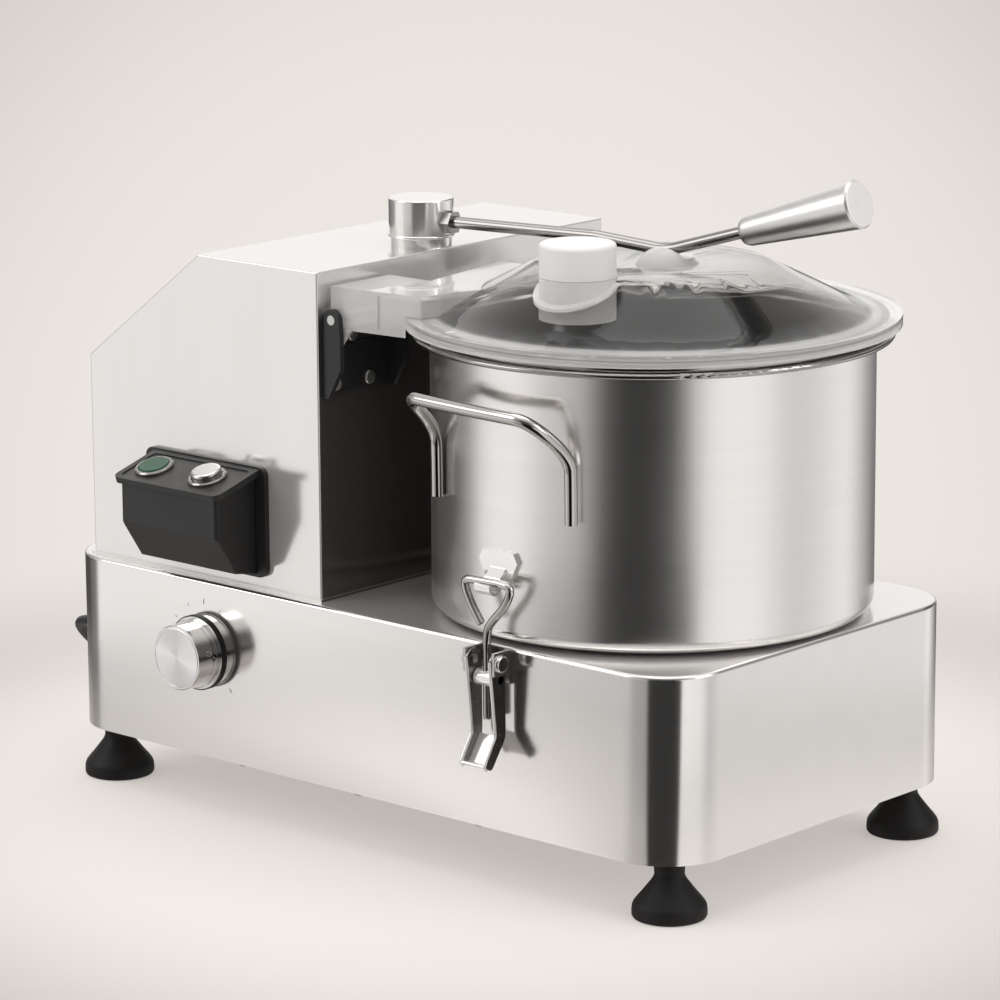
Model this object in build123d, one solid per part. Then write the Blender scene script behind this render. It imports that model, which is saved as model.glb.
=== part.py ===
from build123d import *
from math import atan2, cos, degrees, hypot, pi, radians, sin, sqrt, tan
import os

# A bench-top food processor with a cutter bowl. Millimetres, Z up, the long side of the base along X,
# the operator's side facing -Y. The origin lies on the table, midway between the four feet.

# Base: a folded stainless box, open below and closed by a plate
base_height = 114.0
base_end_overhang = 2.0
base_side_margin = 3.0
base_corner_radius = 40.0
base_edge_radius = 2.5
sheet = 1.5
base_lip_width = 10.0
seam_gap = 0.3

# Feet: rubber bells, each held by a bolt from below
foot_height = 36.0
foot_radius = 22.5
foot_neck_radius = 9.5
foot_rim_height = 5.0
foot_neck_height = 15.0
foot_inset = 25.0
foot_recess_radius = 7.0
foot_recess_depth = 10.0
foot_bolt_radius = 3.0
foot_bolt_head_radius = 6.0
foot_bolt_head_height = 2.5
foot_head_lift = 0.5
foot_head_gap = 0.3
foot_nut_height = 5.0

# Bottom plate vents and screws
vent_length = 60.0
vent_width = 5.0
vent_pitch = 14.0
vent_count = 6
vent_inset = 68.0
bottom_screw_radius = 2.0
bottom_screw_head_radius = 4.2
bottom_screw_head_height = 2.6
bottom_screw_inset = 6.5
bottom_screw_spacing_x = 200.0

# Tower: folded stainless, with one bevelled shoulder
tower_end_inset = 24.0
tower_front_inset = 9.0
tower_back_inset = 2.0
tower_width = 202.0
tower_bowl_gap = 22.0
tower_below_crown = 7.0
tower_shoulder_drop = 75.0
tower_bevel_run = 100.0
tower_edge_radius = 1.2
tower_flange = 1.6

# Bowl: deep drawn, with a rolled bead and an upstanding collar
bowl_radius = 135.0
bowl_wall = 1.6
bowl_corner_radius = 8.0
bowl_height = 174.0
bead_drop = 6.5
bead_reach = 9.5
bead_radius = 1.8
collar_reach = 5.5
bowl_tube_radius = 17.0
bowl_tube_wall = 1.8
bowl_tube_height = 62.0
seat_ring_height = 1.5
seat_ring_inset = 23.0
seat_ring_width = 22.0

# Bowl handles: bent rod, welded by its legs
handle_rod_radius = 4.0
handle_half_angle = 23.8
handle_turn = 3.7
handle_leg_bottom = 78.0
handle_knee = 117.0
handle_bar_height = 143.0
handle_reach = 28.0
handle_bend_radius = 15.0
handle_knee_radius = 11.0

# Lid: clear moulding with a flat ring, a cone and a flat crown
lid_overhang = 15.5
lid_skirt_drop = 2.0
lid_skirt_width = 4.5
lid_ring_inset = 4.0
lid_ring_thickness = 5.0
lid_wall = 3.5
cone_run = 60.0
crown_rise = 29.5
gasket_height = 2.0
gasket_width = 5.0

# Hinge arm of the lid
arm_height = 13.5
arm_wall = 3.0
arm_drop = 12.5
arm_front_inset = 14.0
arm_front_skew = 7.0
arm_wing_depth = 31.0
arm_wing_reach = 6.0
arm_tower_gap = 4.0
arm_overlap = 4.4
arm_lug_depth = 52.0
arm_tail_back = 12.0
arm_tail_reach = 14.0
gusset_drop = 16.0
gusset_width = 16.0

# Lid hinge
hinge_offset = 8.0
hinge_drop = 6.5
hinge_pin_radius = 3.0
hinge_bore_gap = 0.05
hinge_knuckle_radius = 6.5
hinge_side_gap = 1.0
hinge_cheek = 3.5
hinge_plate = 3.0
hinge_plate_drop = 47.0
hinge_plate_height = 29.0
hinge_screw_radius = 2.0
hinge_screw_head_radius = 4.4
hinge_screw_head_height = 1.6

# Feed tube and cap
feed_x = 6.0
feed_crown_gap = 5.0
feed_radius = 23.0
feed_wall = 2.6
feed_tube_rise = 5.5
feed_top_rise = 2.0
feed_collar = 3.5
feed_collar_height = 2.0
cap_height = 20.0
cap_wall = 2.4
cap_plug_depth = 8.0
cap_edge_radius = 2.5
cap_gap = 0.3

# Lock lever
hub_inset = 21.0
hub_y = -13.0
hub_radius = 20.3
hub_height = 24.4
hub_flange_radius = 21.2
hub_flange_height = 2.2
hub_base_radius = 19.4
hub_base_height = 5.3
hub_gap = 0.3
hub_boss_radius = 11.8
hub_boss_length = 20.0
hub_roof = 4.0
spindle_radius = 8.0
running_gap = 0.05
cam_radius = 15.0
cam_height = 6.0
cam_cut = 5.0
lever_turn = 5.0
lever_rod_radius = 3.75
lever_rod_height = 16.0
lever_mid_before = 53.0
lever_mid_rise = 2.0
lever_low_drop = 1.6
lever_rise_angle = 16.5
lever_bend_radius = 40.0
lever_end_after = 81.0
grip_start_after = 56.0
grip_length = 84.0
grip_small_radius = 9.4
grip_large_radius = 14.6
nut_flats = 13.0
nut_length = 7.0

# Saddle moulded on the crown, which the lever lies in
saddle_shift = 8.3
saddle_radius = 19.5
saddle_height = 10.0
saddle_gap = 0.3

# Control box on the tower's front
box_inset = 65.2
box_width = 85.0
box_depth = 34.5
box_wall = 2.5
box_front_low = 38.0
box_chin_low = 13.0
box_chin_depth = 16.5
box_bottom = 10.0
cover_back_height = 77.0
cover_slope = 16.1
cover_thickness = 4.0
cover_margin = 3.8
cover_corner = 6.0
cover_recess = 0.8
cover_border = 4.0
plate_inset = 53.0
plate_width = 105.0
plate_bottom = 8.0
plate_height = 70.0
plate_thickness = 3.5
plate_corner = 6.0

# Push buttons
button_inset = 15.8
button_far_inset = 22.2
button_up_slope = 20.5
bezel_radius = 12.6
bezel_height = 1.8
bezel_hole_radius = 10.3
button_radius = 9.9
start_height = 2.6
stop_height = 6.0
button_skirt = 3.2
button_travel = 3.0
stem_radius = 3.0
stem_length = 16.0
stem_hole_gap = 0.4
switch_block = 20.0
switch_gap = 0.3

# Speed knob
knob_inset = 132.0
knob_height = 69.0
knob_radius = 20.6
knob_collar_radius = 23.4
knob_collar_length = 5.2
knob_length = 21.5
knob_gap = 0.3
knob_rim = 1.0
dial_ring_radius = 22.6
dial_ring_thickness = 3.0
pot_shaft_radius = 3.0
pot_body_radius = 9.0
pot_body_length = 14.0
set_screw_radius = 1.8
set_screw_place = 0.4

# Toggle latches, front and rear alike
latch_shift = -3.5
pivot_reach = 11.5
pivot_height = 107.0
trunnion_inset = 3.0
trunnion_drop = 11.0
trunnion_radius = 4.0
trunnion_end_radius = 2.4
eye_rise = 45.0
rod_radius = 2.4
rod_end_drop = 34.0
eye_half_width = 15.5
eye_depth = 21.0
eye_bend_radius = 5.0
eye_tail = 4.5
cheek_spacing = 20.0
cheek = 1.5
lever_front = 6.0
lever_back = 6.5
lever_kink_drop = 36.0
lever_tip_drop = 65.0
lever_tip_reach = 15.0
lever_tip_depth = 7.0
lever_head_radius = 6.5
rivet_radius = 3.0
rivet_head_radius = 5.4
rivet_head_height = 2.2
bracket_gap = 0.4
bracket_wall = 2.0
bracket_low = 14.0
bracket_high = 7.0
bracket_depth = 17.0
catch_gap = 1.1
catch_thickness = 2.0
catch_width = 12.0
leaf_width = 30.0
leaf_height = 19.0
leaf_thickness = 2.4

# Drive
shaft_radius = 12.0
shaft_top = 86.0
housing_radius = 30.0
housing_flange_radius = 46.0
housing_flange = 4.0
housing_length = 62.0
bearing_radius = 23.0
bearing_width = 14.0
driven_pulley_radius = 46.0
motor_pulley_radius = 32.0
pulley_width = 18.0
pulley_drop = 10.5
pulley_flange = 2.5
belt_thickness = 3.5
belt_gap = 0.3
motor_share = 0.287
motor_height_share = 0.634
motor_plate_margin = 17.0
motor_plate_thickness = 6.0
motor_shaft_radius = 9.0
motor_shaft_bite = 40.0
motor_fin_count = 24
motor_fin_depth = 4.0
motor_fin_width = 3.0

# Blade set
blade_hub_radius = 23.0
blade_hub_top = 80.0
blade_hub_bottom = 6.0
hub_tube_gap = 0.8
blade_tip_gap = 4.5
blade_thickness = 2.6
blade_root_width = 30.0
blade_tip_width = 7.0
lower_blade_level = 12.0
upper_blade_level = 40.0
blade_bow = 27.0
blade_bevel = 1.6
blade_nut_radius = 15.0
blade_nut_height = 16.0

# Electrical pieces
board_length = 110.0
board_height = 70.0
board_thickness = 1.6
board_standoff = 8.0
board_gap = 52.0
capacitor_radius = 20.0
capacitor_length = 75.0
capacitor_inset_x = 53.0
capacitor_inset_y = 50.0
switch_size = 16.0

# Mains lead
gland_inset = 53.0
gland_height = 52.0
gland_radius = 10.0
gland_nut = 7.0
relief_length = 22.0
relief_tip_radius = 5.0
cord_radius = 3.5
coil_mean_radius = 39.0
coil_wide = 2
coil_high = 3
coil_inset = 72.0
coil_gap = 68.0
plug_gap = 23.0
plug_length = 38.0
plug_width = 24.0
plug_height = 20.0
pin_radius = 2.3
pin_length = 18.0
pin_spacing = 19.0

# Places worked out from the sizes above
base_bottom = foot_height
base_top = base_bottom + base_height
base_length = tower_end_inset + tower_width + tower_bowl_gap + 2 * bowl_radius - base_end_overhang
base_depth = 2 * (bowl_radius + base_side_margin)
front_wall = -base_depth / 2
left_wall = -base_length / 2
tower_left = left_wall + tower_end_inset
tower_right = tower_left + tower_width
tower_front = front_wall + tower_front_inset
tower_back = base_depth / 2 - tower_back_inset
bowl_x = tower_right + tower_bowl_gap + bowl_radius
bowl_bottom = base_top + seat_ring_height
bowl_top = bowl_bottom + bowl_height
collar_radius = bowl_radius + collar_reach
bead_level = bowl_top - bead_drop
lid_bottom = bowl_top + gasket_height
lid_radius = bowl_radius + lid_overhang
lid_ring_inner = bowl_radius - lid_ring_inset
crown_radius = lid_ring_inner - cone_run
lid_ring_top = lid_bottom + lid_ring_thickness
crown_top = lid_ring_top + crown_rise
tower_top = crown_top - tower_below_crown
tower_height = tower_top - base_top
tower_low_height = tower_height - tower_shoulder_drop
arm_front = arm_front_inset - bowl_radius
arm_top = lid_ring_top + arm_height
arm_bottom = lid_ring_top - arm_drop
hinge_x = tower_right + hinge_offset
hinge_z = lid_ring_top - hinge_drop
feed_centre_x = bowl_x + feed_x
feed_y = -crown_radius - feed_crown_gap
feed_bottom = lid_ring_top + feed_tube_rise
feed_top = crown_top + feed_top_rise
knob_x = left_wall + knob_inset
box_left = tower_left + box_inset
plate_left = tower_left + plate_inset
button_first_x = box_left + button_inset
button_spacing = box_width - button_inset - button_far_inset
motor_x = (tower_left + tower_right) / 2
motor_radius = tower_width * motor_share
motor_height = tower_height * motor_height_share
capacitor_x = left_wall + capacitor_inset_x
capacitor_y = -front_wall - capacitor_inset_y
board_x = tower_right + board_gap
coil_x = tower_right - coil_inset
coil_y = -front_wall + coil_gap
gland_y = front_wall + gland_inset
hub_x = tower_right - hub_inset
lever_low = (bowl_x + saddle_shift - hub_x) / cos(radians(lever_turn))
knob_z = base_bottom + knob_height
latch_x = bowl_x + latch_shift
pivot_y = front_wall - pivot_reach
pivot_z = base_bottom + pivot_height
trunnion_y = pivot_y + trunnion_inset
trunnion_z = pivot_z - trunnion_drop
eye_z = pivot_z + eye_rise
hub_base_top = tower_top + hub_base_height
hub_bottom = hub_base_top + hub_gap
hub_top = hub_bottom + hub_height
lever_rod_z = tower_top + lever_rod_height
pulley_bottom = base_top - sheet - housing_length - pulley_drop - pulley_width
foot_pocket_radius = foot_bolt_head_radius + foot_head_gap
foot_pocket_top = foot_recess_depth + foot_head_lift + foot_bolt_head_height
foot_x = base_length / 2 - foot_inset
foot_y = base_depth / 2 - foot_inset


def block(x0, x1, y0, y1, z0, z1):
    centre = Pos((x0 + x1) / 2, (y0 + y1) / 2, (z0 + z1) / 2)
    return centre * Box(x1 - x0, y1 - y0, z1 - z0)


def post(x, y, z0, z1, radius):
    return Pos(x, y, (z0 + z1) / 2) * Cylinder(radius, z1 - z0)


def bar_along_y(x, z, y0, y1, radius):
    return Pos(x, (y0 + y1) / 2, z) * Rot(90, 0, 0) * Cylinder(radius, abs(y1 - y0))


def bar_along_x(y, z, x0, x1, radius):
    return Pos((x0 + x1) / 2, y, z) * Rot(0, 90, 0) * Cylinder(radius, abs(x1 - x0))


def turned(points, x=0.0, y=0.0):
    # A body of revolution about a vertical line, from its half section as (radius, height) points
    section = make_face(Polyline(*[(r, 0, z) for r, z in points], close=True))
    return Pos(x, y, 0) * revolve(section, Axis.Z)


def plate_from_side(points, x0, x1):
    # A prism along X from an outline of (y, z) points
    outline = Plane.YZ * make_face(Polyline(*points, close=True))
    return Pos(x0, 0, 0) * extrude(outline, x1 - x0)


def plate_from_front(points, y0, y1):
    # A prism along Y from an outline of (x, z) points
    outline = make_face(Polyline(*[(x, y0, z) for x, z in points], close=True))
    return extrude(outline, y1 - y0, dir=(0, 1, 0))


def rounded_slab(x0, x1, y0, y1, z0, z1, radius):
    outline = Pos((x0 + x1) / 2, (y0 + y1) / 2, z0) * RectangleRounded(x1 - x0, y1 - y0, radius)
    return extrude(outline, z1 - z0)


def bent_rod(points, radii, radius):
    path = FilletPolyline(*points, radius=radii)
    return sweep(Plane(origin=path @ 0, z_dir=path % 0) * Circle(radius), path)


def rear(piece):
    # The same piece on the far side of the machine
    return mirror(piece, about=Plane.XZ)


def on_the_feet(piece):
    # One copy at each foot
    return [Pos(x, y, 0) * piece for x in (-foot_x, foot_x) for y in (-foot_y, foot_y)]


# Base

def make_base_shell():
    outer = rounded_slab(left_wall, -left_wall, front_wall, -front_wall, base_bottom, base_top,
                         base_corner_radius)
    outer = fillet(outer.edges().group_by(Axis.Z)[-1], base_edge_radius)
    inside_radius = base_corner_radius - sheet
    inner = rounded_slab(left_wall + sheet, -left_wall - sheet, front_wall + sheet, -front_wall - sheet,
                         base_bottom, base_top - sheet, inside_radius)
    lip = rounded_slab(left_wall + sheet, -left_wall - sheet, front_wall + sheet, -front_wall - sheet,
                       base_bottom + sheet, base_bottom + 2 * sheet, inside_radius)
    lip_inset = sheet + base_lip_width
    lip -= rounded_slab(left_wall + lip_inset, -left_wall - lip_inset, front_wall + lip_inset,
                        -front_wall - lip_inset, base_bottom + sheet, base_bottom + 2 * sheet,
                        base_corner_radius - lip_inset)
    shell = outer - inner + lip
    shell -= post(bowl_x, 0, base_top - 2 * sheet, base_top + sheet, housing_radius + seam_gap)
    shell -= post(motor_x, 0, base_top - 2 * sheet, base_top + sheet, motor_shaft_radius * 2)
    shell -= bar_along_y(knob_x, knob_z, front_wall - sheet, front_wall + 2 * sheet,
                         pot_shaft_radius + knob_gap)
    shell -= bar_along_x(gland_y, base_bottom + gland_height, left_wall - sheet, left_wall + 2 * sheet,
                         gland_radius * 0.7)
    for x, y in bottom_screw_places():
        shell -= post(x, y, base_bottom, base_bottom + 3 * sheet, bottom_screw_radius)
    return shell


def bottom_screw_places():
    long_side = -front_wall - sheet - bottom_screw_inset
    short_side = -left_wall - sheet - bottom_screw_inset
    places = [(x, y) for x in (-bottom_screw_spacing_x / 2, 0.0, bottom_screw_spacing_x / 2)
              for y in (-long_side, long_side)]
    return places + [(-short_side, 0.0), (short_side, 0.0)]


def make_bottom_plate():
    inset = sheet + seam_gap
    plate = rounded_slab(left_wall + inset, -left_wall - inset, front_wall + inset, -front_wall - inset,
                         base_bottom, base_bottom + sheet, base_corner_radius - inset)
    for row in range(vent_count):
        slot_y = (row - (vent_count - 1) / 2) * vent_pitch
        slot = Pos(left_wall + vent_inset, slot_y, base_bottom) * SlotOverall(vent_length, vent_width)
        plate -= extrude(slot, sheet)
    for x, y in bottom_screw_places():
        plate -= post(x, y, base_bottom - sheet, base_bottom + 2 * sheet, bottom_screw_radius)
    for x in (-foot_x, foot_x):
        for y in (-foot_y, foot_y):
            plate -= post(x, y, base_bottom - sheet, base_bottom + 2 * sheet, foot_bolt_radius)
    return plate


def make_bottom_screws():
    screws = []
    for x, y in bottom_screw_places():
        head = post(x, y, base_bottom - bottom_screw_head_height, base_bottom, bottom_screw_head_radius)
        head = fillet(head.edges().group_by(Axis.Z)[0], bottom_screw_head_height / 2)
        screws.append(head + post(x, y, base_bottom, base_bottom + 4 * sheet, bottom_screw_radius))
    return screws


def make_foot():
    # A rubber bell, open below, with a pocket above the opening for the bolt's head
    flare = Bezier((foot_radius, 0, foot_rim_height), (foot_radius * 0.62, 0, foot_rim_height * 1.4),
                   (foot_neck_radius, 0, foot_neck_height * 0.8), (foot_neck_radius, 0, foot_neck_height))
    rest = Polyline((foot_neck_radius, 0, foot_neck_height), (foot_neck_radius, 0, foot_height),
                    (foot_bolt_radius, 0, foot_height), (foot_bolt_radius, 0, foot_pocket_top),
                    (foot_pocket_radius, 0, foot_pocket_top), (foot_pocket_radius, 0, foot_recess_depth),
                    (foot_recess_radius, 0, foot_recess_depth), (foot_recess_radius, 0, 0),
                    (foot_radius - foot_rim_height * 0.3, 0, 0),
                    (foot_radius, 0, foot_rim_height * 0.3), (foot_radius, 0, foot_rim_height))
    return revolve(make_face(flare.edges() + rest.edges()), Axis.Z)


def make_foot_bolt():
    head = post(0, 0, foot_pocket_top - foot_bolt_head_height, foot_pocket_top,
                foot_bolt_head_radius)
    shank = post(0, 0, foot_pocket_top, base_bottom + sheet + foot_nut_height, foot_bolt_radius)
    nut = extrude(Pos(0, 0, base_bottom + sheet) * RegularPolygon(foot_bolt_radius * 2, 6),
                  foot_nut_height)
    return head + shank + nut


# Tower

def tower_outline(inset):
    # Side outline of the tower as (x, z); the bevel keeps its slope when the outline is inset
    slope = (tower_height - tower_low_height) / tower_bevel_run
    shift = inset * (sqrt(1 + slope ** 2) - slope)
    low_z = base_top + tower_low_height - shift
    top_x = tower_left + tower_bevel_run + inset * (sqrt(1 + slope ** 2) - 1) / slope
    return [(tower_left + inset, base_top), (tower_left + inset, low_z),
            (top_x, tower_top - inset), (tower_right - inset, tower_top - inset),
            (tower_right - inset, base_top)]


def make_tower_shell():
    outer = plate_from_front(tower_outline(0), tower_front, tower_back)
    folds = [e for e in outer.edges() if e.center().Z > base_top + 1]
    outer = fillet(folds, tower_edge_radius)
    shell = outer - plate_from_front(tower_outline(sheet), tower_front + sheet, tower_back - sheet)
    flange = block(tower_left - tower_flange, tower_right + tower_flange, tower_front - tower_flange,
                   tower_back + tower_flange, base_top, base_top + sheet)
    flange -= block(tower_left + sheet, tower_right - sheet, tower_front + sheet, tower_back - sheet,
                    base_top, base_top + sheet)
    shell += flange
    shell -= post(hub_x, hub_y, tower_top - 2 * sheet, tower_top + sheet, hub_boss_radius)
    window_x = box_left + box_width / 2
    window_z = base_top + box_front_low
    shell -= Pos(window_x, tower_front, window_z) * Box(box_width / 2, 4 * sheet, box_front_low / 2)
    for x, y, z in hinge_screw_places():
        shell -= bar_along_x(y, z, tower_right - 2 * sheet, tower_right + sheet, hinge_screw_radius)
    return shell


# Bowl

def make_bowl():
    inner = bowl_radius - bowl_wall
    tube_inner = bowl_tube_radius - bowl_tube_wall
    low = bowl_bottom
    inside_low = bowl_bottom + bowl_wall
    body = turned([(tube_inner, low), (bowl_radius, low), (bowl_radius, bead_level),
                   (inner, bead_level), (inner, inside_low), (bowl_tube_radius, inside_low),
                   (bowl_tube_radius, low + bowl_tube_height),
                   (tube_inner, low + bowl_tube_height)])
    body = fillet(circles_at(body, bowl_radius, low), bowl_corner_radius)
    body = fillet(circles_at(body, inner, inside_low), bowl_corner_radius - bowl_wall)
    return Pos(bowl_x, 0, 0) * body


def circles_at(shape, radius, height):
    return [e for e in shape.edges().filter_by(GeomType.CIRCLE)
            if abs(e.radius - radius) < 0.01 and abs(e.center().Z - height) < 0.01]


def make_bowl_rim():
    # The rolled bead and the upstanding collar, welded on the wall
    inner = bowl_radius - bowl_wall
    reach = bowl_radius + bead_reach
    shelf = bead_level + bowl_wall
    rim = turned([(inner, bead_level), (reach, bead_level), (reach, shelf), (collar_radius, shelf),
                  (collar_radius, bowl_top), (collar_radius - bowl_wall, bowl_top),
                  (collar_radius - bowl_wall, shelf), (inner, shelf)])
    bead = Pos(0, 0, bead_level + bowl_wall / 2) * Torus(reach, bead_radius)
    return Pos(bowl_x, 0, 0) * (rim + bead)


def make_handle():
    # Legs stand against the wall; above the knee the rod leans out to the straight bar
    leg_distance = bowl_radius + handle_rod_radius
    half = leg_distance * sin(radians(handle_half_angle))
    leg_y = -leg_distance * cos(radians(handle_half_angle))
    bar_y = -(bowl_radius + handle_reach + handle_rod_radius)
    low = bowl_bottom + handle_leg_bottom
    knee = bowl_bottom + handle_knee
    high = bowl_bottom + handle_bar_height
    points = [(-half, leg_y, low), (-half, leg_y, knee), (-half, bar_y, high),
              (half, bar_y, high), (half, leg_y, knee), (half, leg_y, low)]
    radii = [handle_knee_radius, handle_bend_radius, handle_bend_radius, handle_knee_radius]
    rod = Rot(0, 0, -handle_turn) * bent_rod(points, radii, handle_rod_radius)
    wall = post(0, 0, low - handle_rod_radius, high + handle_rod_radius, bowl_radius)
    return Pos(bowl_x, 0, 0) * (rod - wall)


def make_seat_ring():
    outer = bowl_radius - seat_ring_inset
    inner = outer - seat_ring_width
    return turned([(inner, base_top), (outer, base_top), (outer, bowl_bottom), (inner, bowl_bottom)],
                  bowl_x)


# Lid

def cone_height(radius, inset=0.0):
    # Height of the cone's outer face at a radius, or of a face parallel to it
    slope = crown_rise / (lid_ring_inner - crown_radius)
    return crown_top - (radius - crown_radius) * slope - inset * sqrt(1 + slope ** 2)


def lid_hollow(top_inset):
    # The space under the lid's cone, as a solid down to the gasket's level
    slope = crown_rise / (lid_ring_inner - crown_radius)
    under_crown = crown_top - top_inset
    top_radius = crown_radius + (cone_height(crown_radius, top_inset) - under_crown) / slope
    foot = lid_bottom
    foot_radius_here = crown_radius + (cone_height(crown_radius, top_inset) - foot) / slope
    return turned([(0, foot), (foot_radius_here, foot), (top_radius, under_crown),
                   (0, under_crown)], bowl_x)


def shrunk(points, inset):
    # A plan outline, drawn anticlockwise, with every side moved inwards by the same distance
    moved = []
    for before, here, after in zip(points[-1:] + points[:-1], points, points[1:] + points[:1]):
        in_x, in_y = here[0] - before[0], here[1] - before[1]
        out_x, out_y = after[0] - here[0], after[1] - here[1]
        in_length, out_length = hypot(in_x, in_y), hypot(out_x, out_y)
        normal_in = (-in_y / in_length, in_x / in_length)
        normal_out = (-out_y / out_length, out_x / out_length)
        share = 1 + normal_in[0] * normal_out[0] + normal_in[1] * normal_out[1]
        moved.append((here[0] + inset * (normal_in[0] + normal_out[0]) / share,
                      here[1] + inset * (normal_in[1] + normal_out[1]) / share))
    return moved


def arm_outline(inset):
    # Plan of the hinge arm, front wall first
    left = tower_right + arm_tower_gap
    ring_meets = bowl_x - sqrt(lid_radius ** 2 - arm_front ** 2)
    front_corner = (ring_meets + arm_overlap, arm_front + arm_front_skew)
    wing = (front_corner[0] + arm_wing_reach, front_corner[1] + arm_wing_depth)
    inside = bowl_x - crown_radius + lid_wall
    waist = (left + front_corner[0]) / 2
    points = [(left, arm_front), front_corner, wing, (inside, wing[1] + arm_wing_depth),
              (inside, arm_tail_back), (waist - arm_tail_reach, arm_tail_back),
              (waist, arm_front + arm_lug_depth), (left, arm_front + arm_lug_depth)]
    return make_face(Polyline(*shrunk(points, inset), close=True))


def make_lid():
    skirt_bottom = lid_bottom - lid_skirt_drop
    skirt_inner = lid_radius - lid_skirt_width
    slope = crown_rise / (lid_ring_inner - crown_radius)
    step = (crown_top - lid_wall, cone_height(crown_radius, lid_wall))
    inner_top = crown_radius + (step[1] - step[0]) / slope
    inner_foot = crown_radius + (step[1] - lid_bottom) / slope
    dish = turned([(skirt_inner, skirt_bottom), (lid_radius, skirt_bottom),
                   (lid_radius, lid_ring_top), (lid_ring_inner, lid_ring_top),
                   (crown_radius, crown_top), (0, crown_top), (0, step[0]), (inner_top, step[0]),
                   (inner_foot, lid_bottom), (skirt_inner, lid_bottom)], bowl_x)
    return dish - feed_hole()


def feed_hole():
    return post(feed_centre_x, feed_y, feed_bottom - lid_wall, tower_top + arm_height, feed_radius)


def make_lid_arm():
    # The arm that reaches over to the hinge: a shallow box open below, moulded to ring and cone
    arm = extrude(Pos(0, 0, arm_bottom) * arm_outline(0), arm_top - arm_bottom)
    arm -= extrude(Pos(0, 0, arm_bottom) * arm_outline(arm_wall), arm_top - arm_wall - arm_bottom)
    left = tower_right + arm_tower_gap
    rib_x = left + arm_tail_reach * 2.4
    arm += block(rib_x, rib_x + arm_wall * 0.8, arm_front + arm_wall, arm_front + arm_lug_depth,
                 arm_bottom + arm_wall, arm_top - arm_wall / 2)
    arm -= post(bowl_x, 0, arm_bottom, lid_ring_top, lid_radius)
    arm -= lid_hollow(0)
    gusset = plate_from_front([(left, arm_bottom + 1), (left, arm_bottom - gusset_drop),
                               (left + arm_wall, arm_bottom - gusset_drop),
                               (left + gusset_width, arm_bottom + 1)],
                              arm_front, arm_front + arm_wall)
    arm += gusset + hinge_barrel(hinge_knuckle_radius)
    arm -= bar_along_y(hinge_x, hinge_z, arm_front - 1, arm_front + arm_lug_depth + 1,
                       hinge_pin_radius + hinge_bore_gap)
    return arm - feed_hole()


def hinge_barrel(radius):
    # The lid's knuckle: a barrel round the pin, joined to the arm's roof by a web
    barrel = bar_along_y(hinge_x, hinge_z, arm_front + hinge_side_gap,
                         arm_front + arm_lug_depth - hinge_side_gap, radius)
    web = block(hinge_x - arm_wall, hinge_x + arm_wall, arm_front + arm_wall,
                arm_front + arm_lug_depth - arm_wall, hinge_z, arm_top - arm_wall / 2)
    return barrel + web


def make_saddle():
    # A low clear dome on the crown, cut away behind the lever so that the lever can swing off it
    angle = radians(lever_turn)
    centre_x = hub_x + lever_low * cos(angle)
    centre_y = hub_y + lever_low * sin(angle)
    sphere_radius = (saddle_radius ** 2 + saddle_height ** 2) / (2 * saddle_height)
    cap = Pos(0, 0, saddle_height - sphere_radius) * Sphere(sphere_radius)
    cap &= post(0, 0, 0, saddle_height, saddle_radius)
    deck = lever_lowest() - lever_rod_radius - saddle_gap - crown_top
    lip = -lever_rod_radius - saddle_gap
    cap -= block(-saddle_radius, saddle_radius, lip, saddle_radius, deck, saddle_height)
    return Pos(centre_x, centre_y, crown_top) * Rot(0, 0, lever_turn) * cap


def make_gasket():
    inner = collar_radius - bowl_wall / 2 - gasket_width / 2
    return turned([(inner, bowl_top), (inner + gasket_width, bowl_top),
                   (inner + gasket_width, lid_bottom), (inner, lid_bottom)], bowl_x)


def make_feed_tube():
    low = feed_bottom
    high = feed_top
    tube = post(feed_centre_x, feed_y, low, high, feed_radius)
    collar = post(feed_centre_x, feed_y, low, high - feed_wall, feed_radius + feed_collar)
    collar &= lid_hollow(-feed_collar_height)
    collar -= lid_hollow(0)
    tube += collar
    tube -= post(feed_centre_x, feed_y, low - 1, high + 1, feed_radius - feed_wall)
    return tube


def make_feed_cap():
    low = feed_top + cap_gap
    top = low + cap_height
    plug = feed_radius - feed_wall - cap_gap
    cap = post(feed_centre_x, feed_y, low, top, feed_radius)
    cap = fillet(cap.edges().group_by(Axis.Z)[-1], cap_edge_radius)
    cap += post(feed_centre_x, feed_y, low - cap_plug_depth, low, plug)
    cap -= post(feed_centre_x, feed_y, low - cap_plug_depth, top - cap_wall, plug - cap_wall)
    return cap


# Lid hinge

def hinge_screw_places():
    y_front = arm_front + hinge_side_gap + 3
    y_back = arm_front + arm_lug_depth * 0.65
    z_low = hinge_z - hinge_plate_drop + 6
    z_high = hinge_z - hinge_knuckle_radius - hinge_screw_head_radius - 1
    return [(tower_right, y_front, z_low), (tower_right, y_back, z_low),
            (tower_right, (y_front + y_back) / 2, z_high)]


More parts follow.
